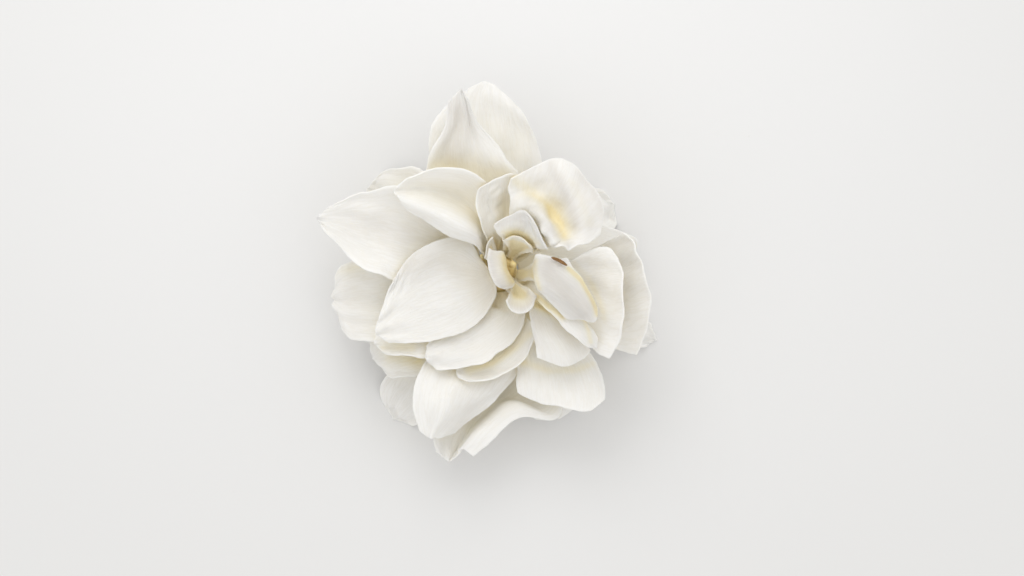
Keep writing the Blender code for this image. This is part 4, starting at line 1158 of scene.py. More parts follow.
    def _uneven(self, petal: Petal, points: Array) -> Array:
        """Work out the waves of the margins, the lengthwise folds and the soft rumple of a sheet.

        Args:
            petal: the petal.
            points: the sheet's points.

        Returns:
            How far each point of the sheet rises along its facing.
        """
        at = np.linspace(0.0, 1.0, len(points))
        spread, middle = self.spread, len(self.fractions)
        wide = petal.half_span
        size, times, start = petal.wave
        part = np.minimum(1.0, np.linalg.norm(points[:, -1] - points[:, 0], axis=1) / (2.0 * wide))
        swing = np.sin(TURN * times * at[:, None] + start + np.where(spread > 0.0, self.wave_offset, 0.0))
        lift = size * part[:, None] * np.abs(spread) ** self.wave_power * swing
        grow_from, grow_over = self.folds_grow
        for place, depth, width in petal.folds:
            ridge = depth * np.exp(-((spread - place) / width) ** 2)
            lift = lift + ease((at - grow_from) / grow_over)[:, None] * ridge[None, :]
        x = (spread * wide)[None, :]
        y = (at * np.linalg.norm(points[-1, middle] - points[0, middle]))[:, None]
        first, second = (petal.mark(*mark) for mark in self.rumple_marks)
        waves = [a * x + b * y for a, b in self.rumple_waves]
        rumple = np.sin(waves[0] + first) * np.sin(waves[1] + second)
        rumple = rumple + self.rumple_fine * np.sin(waves[2] + second + first)
        grow_from, grow_over = self.rumple_grows
        return lift + self.rumple * rumple * ease((at - grow_from) / grow_over)[:, None]

    def settle(self, sheets: list[Array]) -> list[Array]:
        """Ease the petals apart where they would meet: each later one lies on the earlier ones.

        Args:
            sheets: the petals' middle surfaces, from the lowest to the heart.

        Returns:
            The sheets, with room for every blade.
        """
        shape = sheets[0].shape
        free = ease(np.linspace(0.0, 1.0, shape[0]) / self.free_from)[:, None, None]
        hold = free * self.tip_freedom + self.root_freedom
        for _ in range(self.rounds):
            for sheet, move in enumerate(self._pushes(sheets)):
                move = move.reshape(shape)
                soft = softened(move, self.soft_passes)
                move = self.own_move * move + (1.0 - self.own_move) * soft
                moved = sheets[sheet] + move * hold
                moved[..., 2] = np.maximum(moved[..., 2], self.floor_gap)
                sheets[sheet] = self.axis.clear(moved, self.root_gap + self.blade / 2.0)
        return sheets

    def _pushes(self, sheets: list[Array]) -> list[Array]:
        """Work out how far every point of every sheet is pushed by the other sheets.

        Args:
            sheets: the petals' middle surfaces.

        Returns:
            For each sheet the move of each of its points.
        """
        faces = [normals_of(sheet).reshape(-1, 3) for sheet in sheets]
        flat = [sheet.reshape(-1, 3) for sheet in sheets]
        shift = [np.zeros_like(points) for points in flat]
        weight = [np.full(len(points), SLIGHT) for points in flat]
        boxes = [(p.min(axis=0) - self.sheet_gap, p.max(axis=0) + self.sheet_gap) for p in flat]
        for pair in combinations(range(len(sheets)), 2):
            small = np.maximum(*(boxes[n][0] for n in pair))
            large = np.minimum(*(boxes[n][1] for n in pair))
            if (small >= large).any():
                continue
            small, large = small - self.search, large + self.search
            picks = [np.where(((flat[n] > small) & (flat[n] < large)).all(axis=1))[0] for n in pair]
            if not all(len(pick) for pick in picks):
                continue
            for meeting, push in self._meetings([flat[n] for n in pair], [faces[n] for n in pair], picks):
                for n, points, way in zip(pair, meeting, (-0.5, 0.5)):
                    np.add.at(shift[n], points, way * push)
                    np.add.at(weight[n], points, 1.0)
        return [s / np.maximum(w, 1.0)[:, None] for s, w in zip(shift, weight)]

    def _meetings(self, flat: list[Array], faces: list[Array],
                  picks: list[Array]) -> Iterator[tuple[tuple[Array, Array], Array]]:
        """Find where an upper sheet comes too near a lower one.

        Args:
            flat: the points of the lower and the upper sheet.
            faces: their normals.
            picks: the numbers of the points that may meet.

        Yields:
            The numbers of the points that meet, below and above, and how far each two are to part.
        """
        a, b = flat[0][picks[0]], flat[1][picks[1]]
        apart = b[None, :, :] - a[:, None, :]
        far = (apart ** 2).sum(axis=2)
        for axis in (0, 1):
            near = far.argmin(axis=axis)
            if axis == 0:
                low, high = picks[0][near], picks[1]
                gap = apart[near, np.arange(len(b))]
                facing = faces[0][low]
            else:
                low, high = picks[0], picks[1][near]
                gap = apart[np.arange(len(a)), near]
                facing = faces[1][high]
            rise = (gap * facing).sum(axis=1)
            side = np.sqrt(np.maximum((gap ** 2).sum(axis=1) - rise ** 2, 0.0))
            agree = (faces[0][low] * faces[1][high]).sum(axis=1)
            ordered = (side < self.beside) & (rise < self.sheet_gap) & (rise > self.deepest) & (agree > 0.0)
            push = np.where(ordered, self.sheet_gap - rise, 0.0)[:, None] * facing
            length = np.sqrt((gap ** 2).sum(axis=1))
            close = (agree <= 0.0) & (length < self.sheet_gap)
            away = gap / np.maximum(length, SLIGHT)[:, None]
            push = push + np.where(close, self.sheet_gap - length, 0.0)[:, None] * away
            hit = np.where(ordered | close)[0]
            yield (low[hit], high[hit]), push[hit]


@dataclass(frozen=True)
class Shelter:
    """How enclosed each place of the bloom is, as the share of open directions that petals close.

    Lengths are in millimetres. A petal that is farther away closes less. The petals' colour paints warm shade
    where much is closed.
    """

    rays: int = 26
    reach: float = 26.0
    lift: float = 0.5
    fade: float = 0.6
    slant: tuple[float, float, float] = (0.31, 0.87, 0.38)

    def directions(self) -> Array:
        """Spread directions over a half sphere, more of them near its pole.

        Returns:
            The directions, with the pole at +Z.
        """
        k = np.arange(self.rays) + 0.5
        tall, flat = np.sqrt(1.0 - k / self.rays), np.sqrt(k / self.rays)
        angle = k * math.pi * (3.0 - math.sqrt(5.0))
        return np.stack([flat * np.cos(angle), flat * np.sin(angle), tall], axis=1)

    def tree(self, sheets: list[Array]) -> BVHTree:
        """Build the search tree over all sheets.

        Args:
            sheets: the petals' middle surfaces.

        Returns:
            The tree.
        """
        rows, columns = sheets[0].shape[:2]
        index = np.arange(rows * columns).reshape(rows, columns)
        faces = [grid_faces(index + n * rows * columns) for n in range(len(sheets))]
        corners = np.vstack([sheet.reshape(-1, 3) for sheet in sheets])
        return BVHTree.FromPolygons(corners.tolist(), np.vstack(faces).tolist())

    def of(self, sheet: Array, tree: BVHTree) -> tuple[Array, Array]:
        """Measure how enclosed a sheet's two faces are.

        Args:
            sheet: the sheet's points.
            tree: the search tree over all sheets.

        Returns:
            The closed share at each point, above and below.
        """
        normals = normals_of(sheet).reshape(-1, 3)
        points = sheet.reshape(-1, 3)
        aside = unit(np.cross(normals, np.array(self.slant)))
        other = np.cross(normals, aside)
        rays = self.directions()
        found = []
        for way in (1.0, -1.0):
            share = np.zeros(len(points))
            for n, point in enumerate(points):
                start = Vector(point + way * normals[n] * self.lift)
                lines = rays[:, :1] * aside[n] + rays[:, 1:2] * other[n] + rays[:, 2:] * normals[n] * way
                for line in lines:
                    distance = tree.ray_cast(start, Vector(line), self.reach)[3]
                    if distance is not None:
                        share[n] += 1.0 - self.fade * distance / self.reach
            share = (share / self.rays).reshape(*sheet.shape[:2], 1)
            found.append(softened(share, 1)[..., 0])
        return found[0], found[1]


class Workshop:
    """Makes the pieces: moves them to the flower's place, hangs them on the model and lists them."""

    def __init__(self, place: Array) -> None:
        """Keep the move from the petals' own frame to the model's, in millimetres."""
        self.place = place
        self.count = 0

    def piece(self, name: str, corners: Array, faces: Any, fields: dict[str, Array],
              material: bpy.types.Material) -> bpy.types.Object:
        """Make one smooth piece.

        Args:
            name: the piece's name.
            corners: its corners, in millimetres.
            faces: its faces, as numbers of corners.
            fields: values or vectors kept at its corners, by name.
            material: what it is made of.

        Returns:
            The new object.
        """
        mesh = bpy.data.meshes.new(name)
        faces = [tuple(int(k) for k in face) for face in faces]
        mesh.from_pydata(((corners + self.place) * MM).tolist(), [], faces)
        for key, values in fields.items():
            vector = values.ndim == 2
            layer = mesh.attributes.new(key, "FLOAT_VECTOR" if vector else "FLOAT", "POINT")
            layer.data.foreach_set("vector" if vector else "value", values.astype(np.float32).ravel())
        mesh.polygons.foreach_set("use_smooth", [True] * len(mesh.polygons))
        mesh.materials.append(material)
        mesh.update()
        thing = bpy.data.objects.new(name, mesh)
        bpy.context.scene.collection.objects.link(thing)
        return thing

    def stand_for(self, thing: bpy.types.Object, node: str, slot: Slot) -> None:
        """Let a piece stand for a node of the model, and report it.

        Args:
            thing: the piece.
            node: the node it replaces.
            slot: the material slot named for it; not used.
        """
        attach(thing, ROOT_BODY)
        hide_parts(node)
        self.count += 1
        log.info("%s stands for %s: %d corners", thing.name, node, len(thing.data.vertices))

    def wrap(self, node: str, slot: Slot, points: Array, lay: Sequence[Array], finish: TissueFinish) -> None:
        """Let a closed skin of rings stand for a node.

        Args:
            node: the node it replaces.
            slot: the material slot named for it, passed on to stand_for, which doesn't use it.
            points: the skin's points, as rings and places round.
            lay: the arc and the length at each point, in millimetres.
            finish: what it is made of.
        """
        arc, length = np.broadcast_arrays(*lay)
        grain = np.stack([arc, length, np.zeros_like(arc)], axis=-1).reshape(-1, 3)
        thing = self.piece(node + "_skin", points.reshape(-1, 3), ring_faces(*points.shape[:2]),
                           {"grain": grain}, finish.material())
        self.stand_for(thing, node, slot)


@dataclass(frozen=True)
class BladeWork:
    """How the thin blade of a petal is worked over its settled sheet; lengths in millimetres."""

    plan: SheetPlan
    thickness: float = 0.5
    thinner: float = 0.2
    thin_reach: float = 4.0
    margin: float = 0.3
    margin_left: float = 0.14
    margin_shares: tuple[float, ...] = (0.4, 0.7, 0.88, 1.0)
    finer: int = 4
    relief: float = 0.07
    relief_size: float = 1.25
    grown: Range = (2.0, 5.0)
    frill: float = 0.16
    frill_reach: float = 2.4
    frill_waves: tuple[float, ...] = (1.3, 0.8, 2.0, 1.0)
    jag: float = 0.2
    jag_aside: tuple[float, ...] = (1.1, 1.2, 1.0, 2.0)
    jag_ahead: tuple[float, ...] = (1.2, 0.9, 1.0, 4.0)
    mark: tuple[float, float, float] = (0.37, 0.59, 1.0)
    fan: float = 9.0
    rest_reach: Range = (0.2, 1.2)

    def rows(self) -> Array:
        """Return the fine shares of the length."""
        return self.plan.rows(self.plan.along * self.finer)

    def columns(self) -> Array:
        """Work out the fine places across, closer together at the margins.

        Returns:
            The places, from -1 to 1.
        """
        middle = self.plan.across
        half = []
        for low, high in zip(middle[:-1], middle[1:]):
            half.extend(np.linspace(low, high, self.finer, endpoint=False))
        last = half[-1]
        half.extend([last + (1.0 - last) * share for share in self.margin_shares])
        return np.concatenate([-np.array(half[:0:-1]), half])

    def fine_sheet(self, petal: Petal, sheet: Array) -> tuple[Array, Array, Array]:
        """Lay a fine grid over a sheet and give it its small unevenness.

        Args:
            petal: the petal.
            sheet: its settled sheet.

        Returns:
            The fine points, their distances from the root along the middle line, and their distances
            from the margin.
        """
        plan, columns = self.plan, self.columns()
        down = spline_weights(plan.rows(plan.along), self.rows())
        over = spline_weights(plan.spread, columns)
        points = np.einsum("ri,ijk,cj->rck", down, sheet, over)
        length = run_along(points[:, len(columns) // 2])
        steps = np.linalg.norm(np.diff(points, axis=1), axis=2)
        run = np.concatenate([np.zeros((len(points), 1)), np.cumsum(steps, axis=1)], axis=1)
        margin = np.minimum(np.minimum(run, run[:, -1:] - run), (length[-1] - length)[:, None])
        facing = normals_of(points)
        x, y = np.meshgrid(columns * petal.half_span / self.relief_size, length / self.relief_size)
        phase = petal.mark(*self.mark)

        def waves(size: tuple[float, ...]) -> Array:
            """Return a pattern sized by its width, its length, and how it starts on each petal."""
            return ripple(size[0] * x, size[1] * y, size[2] * phase + size[3])

        grow_from, grow_over = self.grown
        grown = ease((length - grow_from) / grow_over)[:, None]
        near = (1.0 - ease(margin / self.frill_reach)) * grown
        lift = self.relief * ripple(x, y, phase) * grown
        lift = lift + self.frill * near * waves(self.frill_waves)
        side = self.jag * near * waves(self.jag_aside)
        ahead = self.jag * near * waves(self.jag_ahead)
        across, along = unit(np.gradient(points, axis=1)), unit(np.gradient(points, axis=0))
        points = points + lift[..., None] * facing + side[..., None] * across + ahead[..., None] * along
        return points, length, margin

    def blade(self, petal: Petal, sheet: Array) -> tuple[Array, Array, dict[str, Array]]:
        """Build the closed blade.

        Args:
            petal: the petal.
            sheet: its settled sheet.

        Returns:
            Corners and faces, and the fan, length and margin kept at the corners.
        """
        points, length, margin = self.fine_sheet(petal, sheet)
        full = self.thickness * (1.0 - self.thinner * (1.0 - ease(margin / self.thin_reach)))
        closing = np.clip(margin / self.margin, 0.0, 1.0)
        edge = np.sqrt(np.maximum(1.0 - (1.0 - closing) ** 2, self.margin_left ** 2))
        half = (full * edge / 2.0)[..., None]
        facing = softened(normals_of(points), 1)
        top, under = points + facing * half, points - facing * half
        if petal.rests:
            rest_from, rest_over = self.rest_reach
            lowest = under[..., 2].min()
            for face in (top, under):
                face[..., 2] -= lowest * (1.0 - ease((face[..., 2] - rest_from) / rest_over))
        corners = np.vstack([top.reshape(-1, 3), under.reshape(-1, 3)])
        lay = np.broadcast_arrays(self.fan * self.columns()[None, :], length[:, None], margin)
        fields = {"blade": np.vstack([np.stack(lay, axis=-1).reshape(-1, 3)] * 2)}
        return corners, self._faces(*points.shape[:2]), fields

    @staticmethod
    def _faces(rows: int, columns: int) -> Array:
        """Lay the faces of a closed blade over two grids of corners and a rim.

        Args:
            rows: how many rows each grid has.
            columns: how many columns each grid has.

        Returns:
            The faces, as numbers of corners.
        """
        index = np.arange(rows * columns).reshape(rows, columns)
        below = rows * columns
        top = grid_faces(index)
        ring = np.concatenate([index[0, :-1], index[:-1, -1], index[-1, :0:-1], index[:0:-1, 0]])
        after = np.roll(ring, -1)
        rim = np.stack([ring, ring + below, after + below, after], axis=-1)
        return np.vstack([top, top[:, ::-1] + below, rim])


@dataclass(frozen=True)
class ShadeAndTintStreak:
    """A soft streak of painted shade and tint on a petal, along a line seen from above; lengths in
    millimetres.

    Warmth paints golden shade along valleys and gaps, partly the bloom's own tint, and below nought it
    clears the skin as painted light. Shade paints grey shade over it.
    """

    petal: str
    line: tuple[tuple[float, float], ...]
    width: float
    warmth: float = 0.0
    shade: float = 0.0

    def strength(self, corners: Array) -> Array:
        """Work out how strongly the streak covers a blade.

        Args:
            corners: the blade's corners.

        Returns:
            The cover at each corner, from nought to one.
        """
        nearest = np.full(len(corners), np.inf)
        for start, end in zip(self.line[:-1], self.line[1:]):
            run = np.subtract(end, start)
            share = np.clip((corners[:, :2] - start) @ run / (run @ run), 0.0, 1.0)
            foot = np.array(start) + share[:, None] * run
            nearest = np.minimum(nearest, np.linalg.norm(corners[:, :2] - foot, axis=1))
        return np.exp(-(nearest / self.width) ** 2)


# Painted shade and tint: grey shade where petals turn from the light, warm shade in valleys and gaps, painted
# light where warmth is below nought.
SHADE_AND_TINT_STREAKS: tuple[ShadeAndTintStreak, ...] = (
    # Lowest ring.
    ShadeAndTintStreak("petal_outer_n", ((2, 30), (5, 27)), 3.0, warmth=0.15),
    ShadeAndTintStreak("petal_outer_nw", ((-28, 17.5), (-18, 20.5)), 4.0, warmth=0.35, shade=0.35),
    ShadeAndTintStreak("petal_outer_w", ((-32.5, 1), (-28, 2)), 1.8, warmth=0.4),
    ShadeAndTintStreak("petal_outer_w", ((-32, -3), (-29, -11)), 4.0, warmth=0.1, shade=0.3),
    ShadeAndTintStreak("petal_outer_wsw", ((-22, -18), (-16, -18.5)), 2.0, warmth=0.4),
    ShadeAndTintStreak("petal_outer_ssw", ((-5, -33), (1, -28.6), (5.2, -25), (7.5, -21)), 1.5, warmth=0.12),
    ShadeAndTintStreak("petal_outer_ene", ((31, 6), (32, 3)), 1.5, warmth=0.5),
    # Middle ring.
    ShadeAndTintStreak("petal_middle_n", ((-12, 23), (-5, 22.2), (2, 21.5), (7, 20)), 2.2, warmth=0.15),
    ShadeAndTintStreak("petal_middle_n", ((-9, 25), (-7, 34)), 4.0, warmth=0.2, shade=0.8),
    ShadeAndTintStreak("petal_middle_wnw", ((-30, 11), (-19, 9)), 4.5, shade=0.4),
    ShadeAndTintStreak("petal_middle_wsw", ((-23, -15.2), (-17, -15.6)), 1.4, warmth=0.45),
    ShadeAndTintStreak("petal_middle_s", ((8, -12.5), (5, -15.5), (0, -18.8), (-5, -20.3)), 1.2, warmth=0.5),
    ShadeAndTintStreak("petal_middle_ssw", ((4, -18), (-2.5, -26), (-8, -32.5)), 2.4, warmth=-0.1, shade=0.3),
    ShadeAndTintStreak("petal_middle_sse", ((6.5, -18.5), (12, -20.3), (18, -20.2), (21.5, -18.8)), 1.2, warmth=0.45),
    ShadeAndTintStreak("petal_middle_e", ((30, 6), (31.5, -2), (32, -12)), 4.0, warmth=-0.6, shade=0.1),
    ShadeAndTintStreak("petal_middle_w", ((-18, 1.5), (-10, 3), (-4, 0), (0, -7)), 3.4, warmth=0.2, shade=0.55),
    ShadeAndTintStreak("petal_middle_w", ((-4, 4), (-2, 1), (0, -4)), 1.8, warmth=-0.3),
    # Inner ring.
    ShadeAndTintStreak("petal_inner_nw", ((-3.5, 6), (-1.5, 7.5), (0, 10)), 2.0, warmth=-0.4),
    ShadeAndTintStreak("petal_inner_n", ((-1.5, 17.5), (2, 14.5), (5, 12.5)), 2.6, warmth=0.25, shade=0.3),
    ShadeAndTintStreak("petal_inner_e", ((18, 3), (22, 1.5), (25, -2)), 3.0, warmth=-0.4),
    ShadeAndTintStreak("petal_inner_e", ((17.2, 2.4), (20.4, -0.6), (22.4, -4.6), (23.6, -9)), 1.0, warmth=0.45),
    ShadeAndTintStreak("petal_inner_ese", ((19.3, -8.9), (20.2, -11.5), (20.7, -14)), 0.9, warmth=0.7),
    ShadeAndTintStreak("petal_inner_ese", ((9.8, -5), (12.3, -7), (14.6, -8.9)), 1.0, warmth=0.75),
    ShadeAndTintStreak("petal_inner_s", ((9.6, -6), (12.5, -7.6), (15, -9.2)), 1.2, warmth=0.6),
    ShadeAndTintStreak("petal_inner_s", ((11, -11.5), (15, -15), (18, -15)), 4.0, warmth=-0.4),
    ShadeAndTintStreak("petal_inner_ne", ((9, 20), (14, 18.5), (18, 15.5), (20, 11)), 4.5, warmth=0.1, shade=0.45),
    ShadeAndTintStreak("petal_inner_ne", ((7.5, 15.2), (10.8, 11), (13.3, 8), (16.5, 6)), 1.4, shade=0.5),
    ShadeAndTintStreak("petal_inner_ne", ((5, 19.6), (8.7, 17), (11.8, 14.1), (14.2, 10.8), (15.2, 7.8)), 1.7,
          warmth=0.55),
    ShadeAndTintStreak("petal_inner_ne", ((12, 23.2), (14, 19.5), (16.4, 14.5), (17.6, 10.2)), 1.2, shade=0.45),
    ShadeAndTintStreak("petal_inner_ne", ((16.8, 19.5), (18.6, 15.5), (20.4, 11)), 1.1, warmth=0.3),
    ShadeAndTintStreak("petal_inner_ne", ((18.5, 21), (21.5, 17.5), (23.6, 13)), 1.2, shade=0.4),
    # Heart.
    ShadeAndTintStreak("petal_heart_nw", ((-1.5, 4), (-0.5, 7.5)), 1.5, warmth=-0.2),
    ShadeAndTintStreak("petal_heart_inner", ((3, 7), (6, 7), (8.7, 5)), 2.0, warmth=0.3),
    ShadeAndTintStreak("petal_heart_north", ((1.2, 10.9), (4, 12.2), (7.5, 12.5), (10, 9.8), (11.9, 6.6)), 1.4,
          warmth=-0.4, shade=0.65),
    ShadeAndTintStreak("petal_heart_north", ((1.2, 8.9), (3.6, 9.2), (6.6, 8.9), (9, 7.2), (10.2, 5.2)), 1.0, warmth=0.35),
    ShadeAndTintStreak("petal_heart_east", ((11, 1.5), (14.5, -2.5), (19, -7)), 3.4, warmth=-0.4, shade=1.1),
    ShadeAndTintStreak("petal_heart_south", ((3.5, -6), (6.5, -7.2), (9.5, -5.5)), 1.6, warmth=0.1, shade=0.95),
    ShadeAndTintStreak("petal_heart_south", ((4, -3.6), (6.4, -4.3), (8.6, -3.8)), 1.3, warmth=0.1, shade=0.55),
    ShadeAndTintStreak("petal_heart_east", ((9.1, 3.6), (9.2, 0), (9.9, -2.9)), 0.9, warmth=0.7),
    ShadeAndTintStreak("petal_heart_west", ((3, -3), (0.4, 0), (-0.5, 5)), 1.8, warmth=-0.1, shade=1.0),
    ShadeAndTintStreak("petal_heart_west", ((3.8, -1.8), (3, 1), (2.2, 4.2)), 1.3, warmth=0.25, shade=0.75),
    ShadeAndTintStreak("petal_heart_east", ((16, 1.4), (18.8, -1), (20.8, -4.4), (22.2, -8.4)), 0.9, warmth=0.9),
)


class Bloom:
    """All petals, from the lowest ring to the heart."""

    def __init__(self, petals: Sequence[Petal], plan: SheetPlan, shelter: Shelter,
                 finishes: dict[Ring, PetalFinish]) -> None:
        """Settle the petals' sheets.

        Args:
            petals: the petals, from the lowest to the heart.
            plan: how their sheets are laid out.
            shelter: how their shelter is measured.
            finishes: what each ring is made of.
        """
        self.petals = petals
        self.plan = plan
        self.shelter = shelter
        self.finishes = finishes
        self.sheets = plan.settle([plan.sheet(petal) for petal in petals])

    def place(self) -> Array:
        """Work out the move that puts the middle of the bloom's footprint over the origin.

        Returns:
            The move, in millimetres.
        """
        low, high = np.full(3, np.inf), np.full(3, -np.inf)
        for sheet in self.sheets:
            coarse = sheet[::2, ::2]
            half = normals_of(coarse) * self.plan.blade / 2.0
            for skin in (coarse + half, coarse - half):
                low = np.minimum(low, skin.min(axis=(0, 1)))
                high = np.maximum(high, skin.max(axis=(0, 1)))
        middle = (low + high) / 2.0
        return np.array([-middle[0], -middle[1], 0.0])

    def build(self, workshop: Workshop, work: BladeWork) -> None:
        """Build and dress every petal.

        Args:
            workshop: where the pieces are made.
            work: how the blades are worked.
        """
        tree = self.shelter.tree(self.sheets)
        materials = {finish.name: finish.material() for finish in dict.fromkeys(self.finishes.values())}
        rows = straight_weights(self.plan.rows(self.plan.along), work.rows())
        columns = straight_weights(self.plan.spread, work.columns())
        for petal, sheet in zip(self.petals, self.sheets):
            corners, faces, fields = work.blade(petal, sheet)
            sides = (rows @ side @ columns.T for side in self.shelter.of(sheet, tree))
            # shelter feeds the painted warm shade in hollows
            fields["shelter"] = np.concatenate([side.ravel() for side in sides])
            fields["tone"] = np.full(len(corners), 0.5 + 0.5 * math.sin(petal.mark(*TONE_MARK)))
            # streaks of painted shade and tint that belong to this petal
            shade_and_tint = [(shade_tint, shade_tint.strength(corners)) for shade_tint in SHADE_AND_TINT_STREAKS if shade_tint.petal == petal.name]
            for key in ("warmth", "shade"):
                parts = (getattr(shade_tint, key) * part for shade_tint, part in shade_and_tint)
                fields[key] = sum(parts, np.zeros(len(corners)))
            material = materials[self.finishes[petal.ring].name]
            slot = Slot.HEART_PETAL if petal.ring is Ring.HEART else Slot.PETAL
            thing = workshop.piece(petal.name + "_blade", corners, faces, fields, material)
            workshop.stand_for(thing, petal.name, slot)


@dataclass(frozen=True)
class RoundPiece:
    """A round body on the flower's axis, ribbed and uneven; lengths in millimetres."""

    node: str = ""
    slot: Slot = Slot.CORE
    profile: tuple = ()
    end: float = 0.04
    least: float = 0.02
    ring: int = 96
    levels: int = 64
    ribs: int = 6
    rib_depth: float = 0.03
    uneven: float = 0.08
    size: float = 1.2
    round_waves: float = 4.0
    phase: float = 1.7

    def outline(self) -> tuple[Array, Array]:
        """Draw the body's outline.

        Returns:
            The height along the axis and the radius at each level.
        """
        ends = [(self.profile[0][0], self.end), *self.profile, (self.profile[-1][0], self.end)]
        line = curve([(height, radius, 0.0) for height, radius in ends], self.levels)
        return line[:, :1], line[:, 1:2]

    def skin(self, axis: Axis) -> tuple[Array, Array, Array]:
        """Lay out the body's skin.

        Args:
            axis: the flower's axis.

        Returns:
            Its points, as levels and places round, and the arc and length at each, in millimetres.
        """
        angle = angles_round(self.ring)
        height, outline = self.outline()
        radius = np.maximum(outline, self.least)
        shape = 1.0 + self.rib_depth * np.cos(self.ribs * angle)[None, :]
        wobble = self.uneven * ripple(self.round_waves * np.cos(angle)[None, :] + height / self.size,
                                      self.round_waves * np.sin(angle)[None, :] - height / self.size,
                                      self.phase)
        radius = radius * shape + wobble * ease(radius)
        points = (np.array(axis.foot) + axis.ahead * height[..., None]
                  + axis.spokes(angle)[None] * radius[..., None])
        return points, angle[None, :] * np.maximum(outline, 1.0), height

    def build(self, workshop: Workshop, axis: Axis, finish: TissueFinish) -> None:
        """Build and dress the body.

        Args:
            workshop: where the pieces are made.
            axis: the flower's axis.
            finish: what it is made of.
        """
        points, arc, length = self.skin(axis)
        workshop.wrap(self.node, self.slot, points, (arc, length), finish)


@dataclass(frozen=True)
class Core(RoundPiece):
    """The throat that carries the petals."""

    node: str = "core"
    slot: Slot = Slot.CORE
    profile: tuple = ((-0.4, 3.9), (0.0, 4.85), (3.0, 4.75), (7.0, 3.35), (11.0, 2.15), (12.6, 1.35),
                      (13.0, 0.8))
    ribs: int = 12
    rib_depth: float = 0.02
    uneven: float = 0.1


@dataclass(frozen=True)
class CorollaTube(RoundPiece):
    """The neck of the flower below its petals."""

    node: str = "corolla_tube"
    slot: Slot = Slot.TUBE
    profile: tuple = ((-5.2, 1.9), (-4.9, 2.25), (-3.0, 2.45), (-1.6, 3.15), (-0.9, 3.85), (-0.7, 3.6))
    rib_depth: float = 0.035


@dataclass(frozen=True)
class PedicelEnd(RoundPiece):
    """The short cut end of the stalk."""

    node: str = "pedicel_end"
    slot: Slot = Slot.GREEN
    profile: tuple = ((-7.5, 1.3), (-7.4, 1.42), (-7.0, 1.46), (-6.75, 1.46), (-6.7, 1.35))
    ribs: int = 9
    rib_depth: float = 0.04
    uneven: float = 0.04
    size: float = 0.6


@dataclass(frozen=True)
class Calyx(RoundPiece):
    """The small cup with its lobed rim and keels round the foot of the tube; lengths in millimetres."""

    node: str = "calyx"
    slot: Slot = Slot.GREEN
    profile: tuple = ((-6.4, 1.7), (-6.1, 2.6), (-4.4, 3.4), (-3.4, 3.7), (-3.4, 3.0), (-4.6, 2.7),
                      (-5.5, 2.3))
    end: float = 0.5
    ring: int = 144
    levels: int = 44
    ribs: int = 6
    rib_depth: float = 0.07
    rib_reach: Range = (1.5, 1.5)
    rise: float = 1.3
    rise_reach: Range = (-5.2, 1.8)
    uneven: float = 0.04
    round_waves: float = 5.0
    phase: float = 0.4

    def skin(self, axis: Axis) -> tuple[Array, Array, Array]:
        """Lay out the cup's skin.

        Args:
            axis: the flower's axis.

        Returns:
            Its points, as levels and places round, and the arc and length at each, in millimetres.
        """
        angle = angles_round(self.ring)
        height, radius = self.outline()
        wave = np.cos(self.ribs * angle)
        rise_from, rise_over = self.rise_reach
        lobe = self.rise * (0.5 + 0.5 * wave)[None, :] * ease((height - rise_from) / rise_over)
        rib_from, rib_over = self.rib_reach
        keel = self.rib_depth * wave[None, :] * ease((radius - rib_from) / rib_over)
        wobble = ripple(self.round_waves * np.cos(angle)[None, :] + height,
                        self.round_waves * np.sin(angle)[None, :], self.phase)
        radius = radius + keel + self.uneven * wobble
        points = (np.array(axis.foot) + axis.ahead * (height + lobe)[..., None]
                  + axis.spokes(angle)[None] * radius[..., None])
        return points, angle[None, :] * radius, height + lobe


@dataclass(frozen=True)
class Spindle:
    """A slender body along a line, such as the stigma or an anther; lengths in millimetres."""

    node: str
    slot: Slot
    line: tuple
    widths: tuple
    grooves: int = 2
    groove_depth: float = 0.12
    groove_power: int = 4
    ring: int = 40
    levels: int = 48
    blunt: int = 8
    blunt_least: float = 0.02
    slant: tuple[float, float, float] = (0.3, 0.2, 1.0)
    uneven: float = 0.05
    waves: tuple[float, float, float] = (3.0, 9.0, -7.0)
    phase: float = 0.9
    arc: float = 0.5

    def skin(self) -> tuple[Array, Array, Array]:
        """Lay out the body's skin.

        Returns:
            Its points, as levels and places round, and the arc and length at each, in millimetres.
        """
        at = np.linspace(0.0, 1.0, self.levels)
        line = curve(self.line, self.levels)
        widths = spline_weights(np.linspace(0.0, 1.0, len(self.widths)), at) @ np.array(self.widths)
        ahead = unit(np.gradient(line, axis=0))
        line = line + ahead * ((at - 0.5) * self.widths[0])[:, None]
        aside = unit(np.cross(ahead, np.array(self.slant)))
        above = np.cross(ahead, aside)
        angle = angles_round(self.ring)
        tips = np.sqrt(np.clip(1.0 - (2.0 * at - 1.0) ** self.blunt, self.blunt_least, 1.0))
        shape = 1.0 - self.groove_depth * (0.5 + 0.5 * np.cos(self.grooves * angle)) ** self.groove_power
        round_, first, second = self.waves
        wobble = ripple(round_ * np.cos(angle)[None, :] + first * at[:, None],
                        round_ * np.sin(angle)[None, :] + second * at[:, None], self.phase)
        size = (widths * tips)[:, None] * (shape[None, :] + self.uneven * wobble)
        points = line[:, None] + size[..., None] * (np.cos(angle)[None, :, None] * aside[:, None]
                                                    + np.sin(angle)[None, :, None] * above[:, None])
        return points, angle[None, :] * self.arc, (at * np.linalg.norm(line[-1] - line[0]))[:, None]

    def build(self, workshop: Workshop, finish: TissueFinish) -> None:
        """Build and dress the body.

        Args:
            workshop: where the pieces are made.
            finish: what it is made of.
        """
        points, arc, length = self.skin()
        workshop.wrap(self.node, self.slot, points, (arc, length), finish)


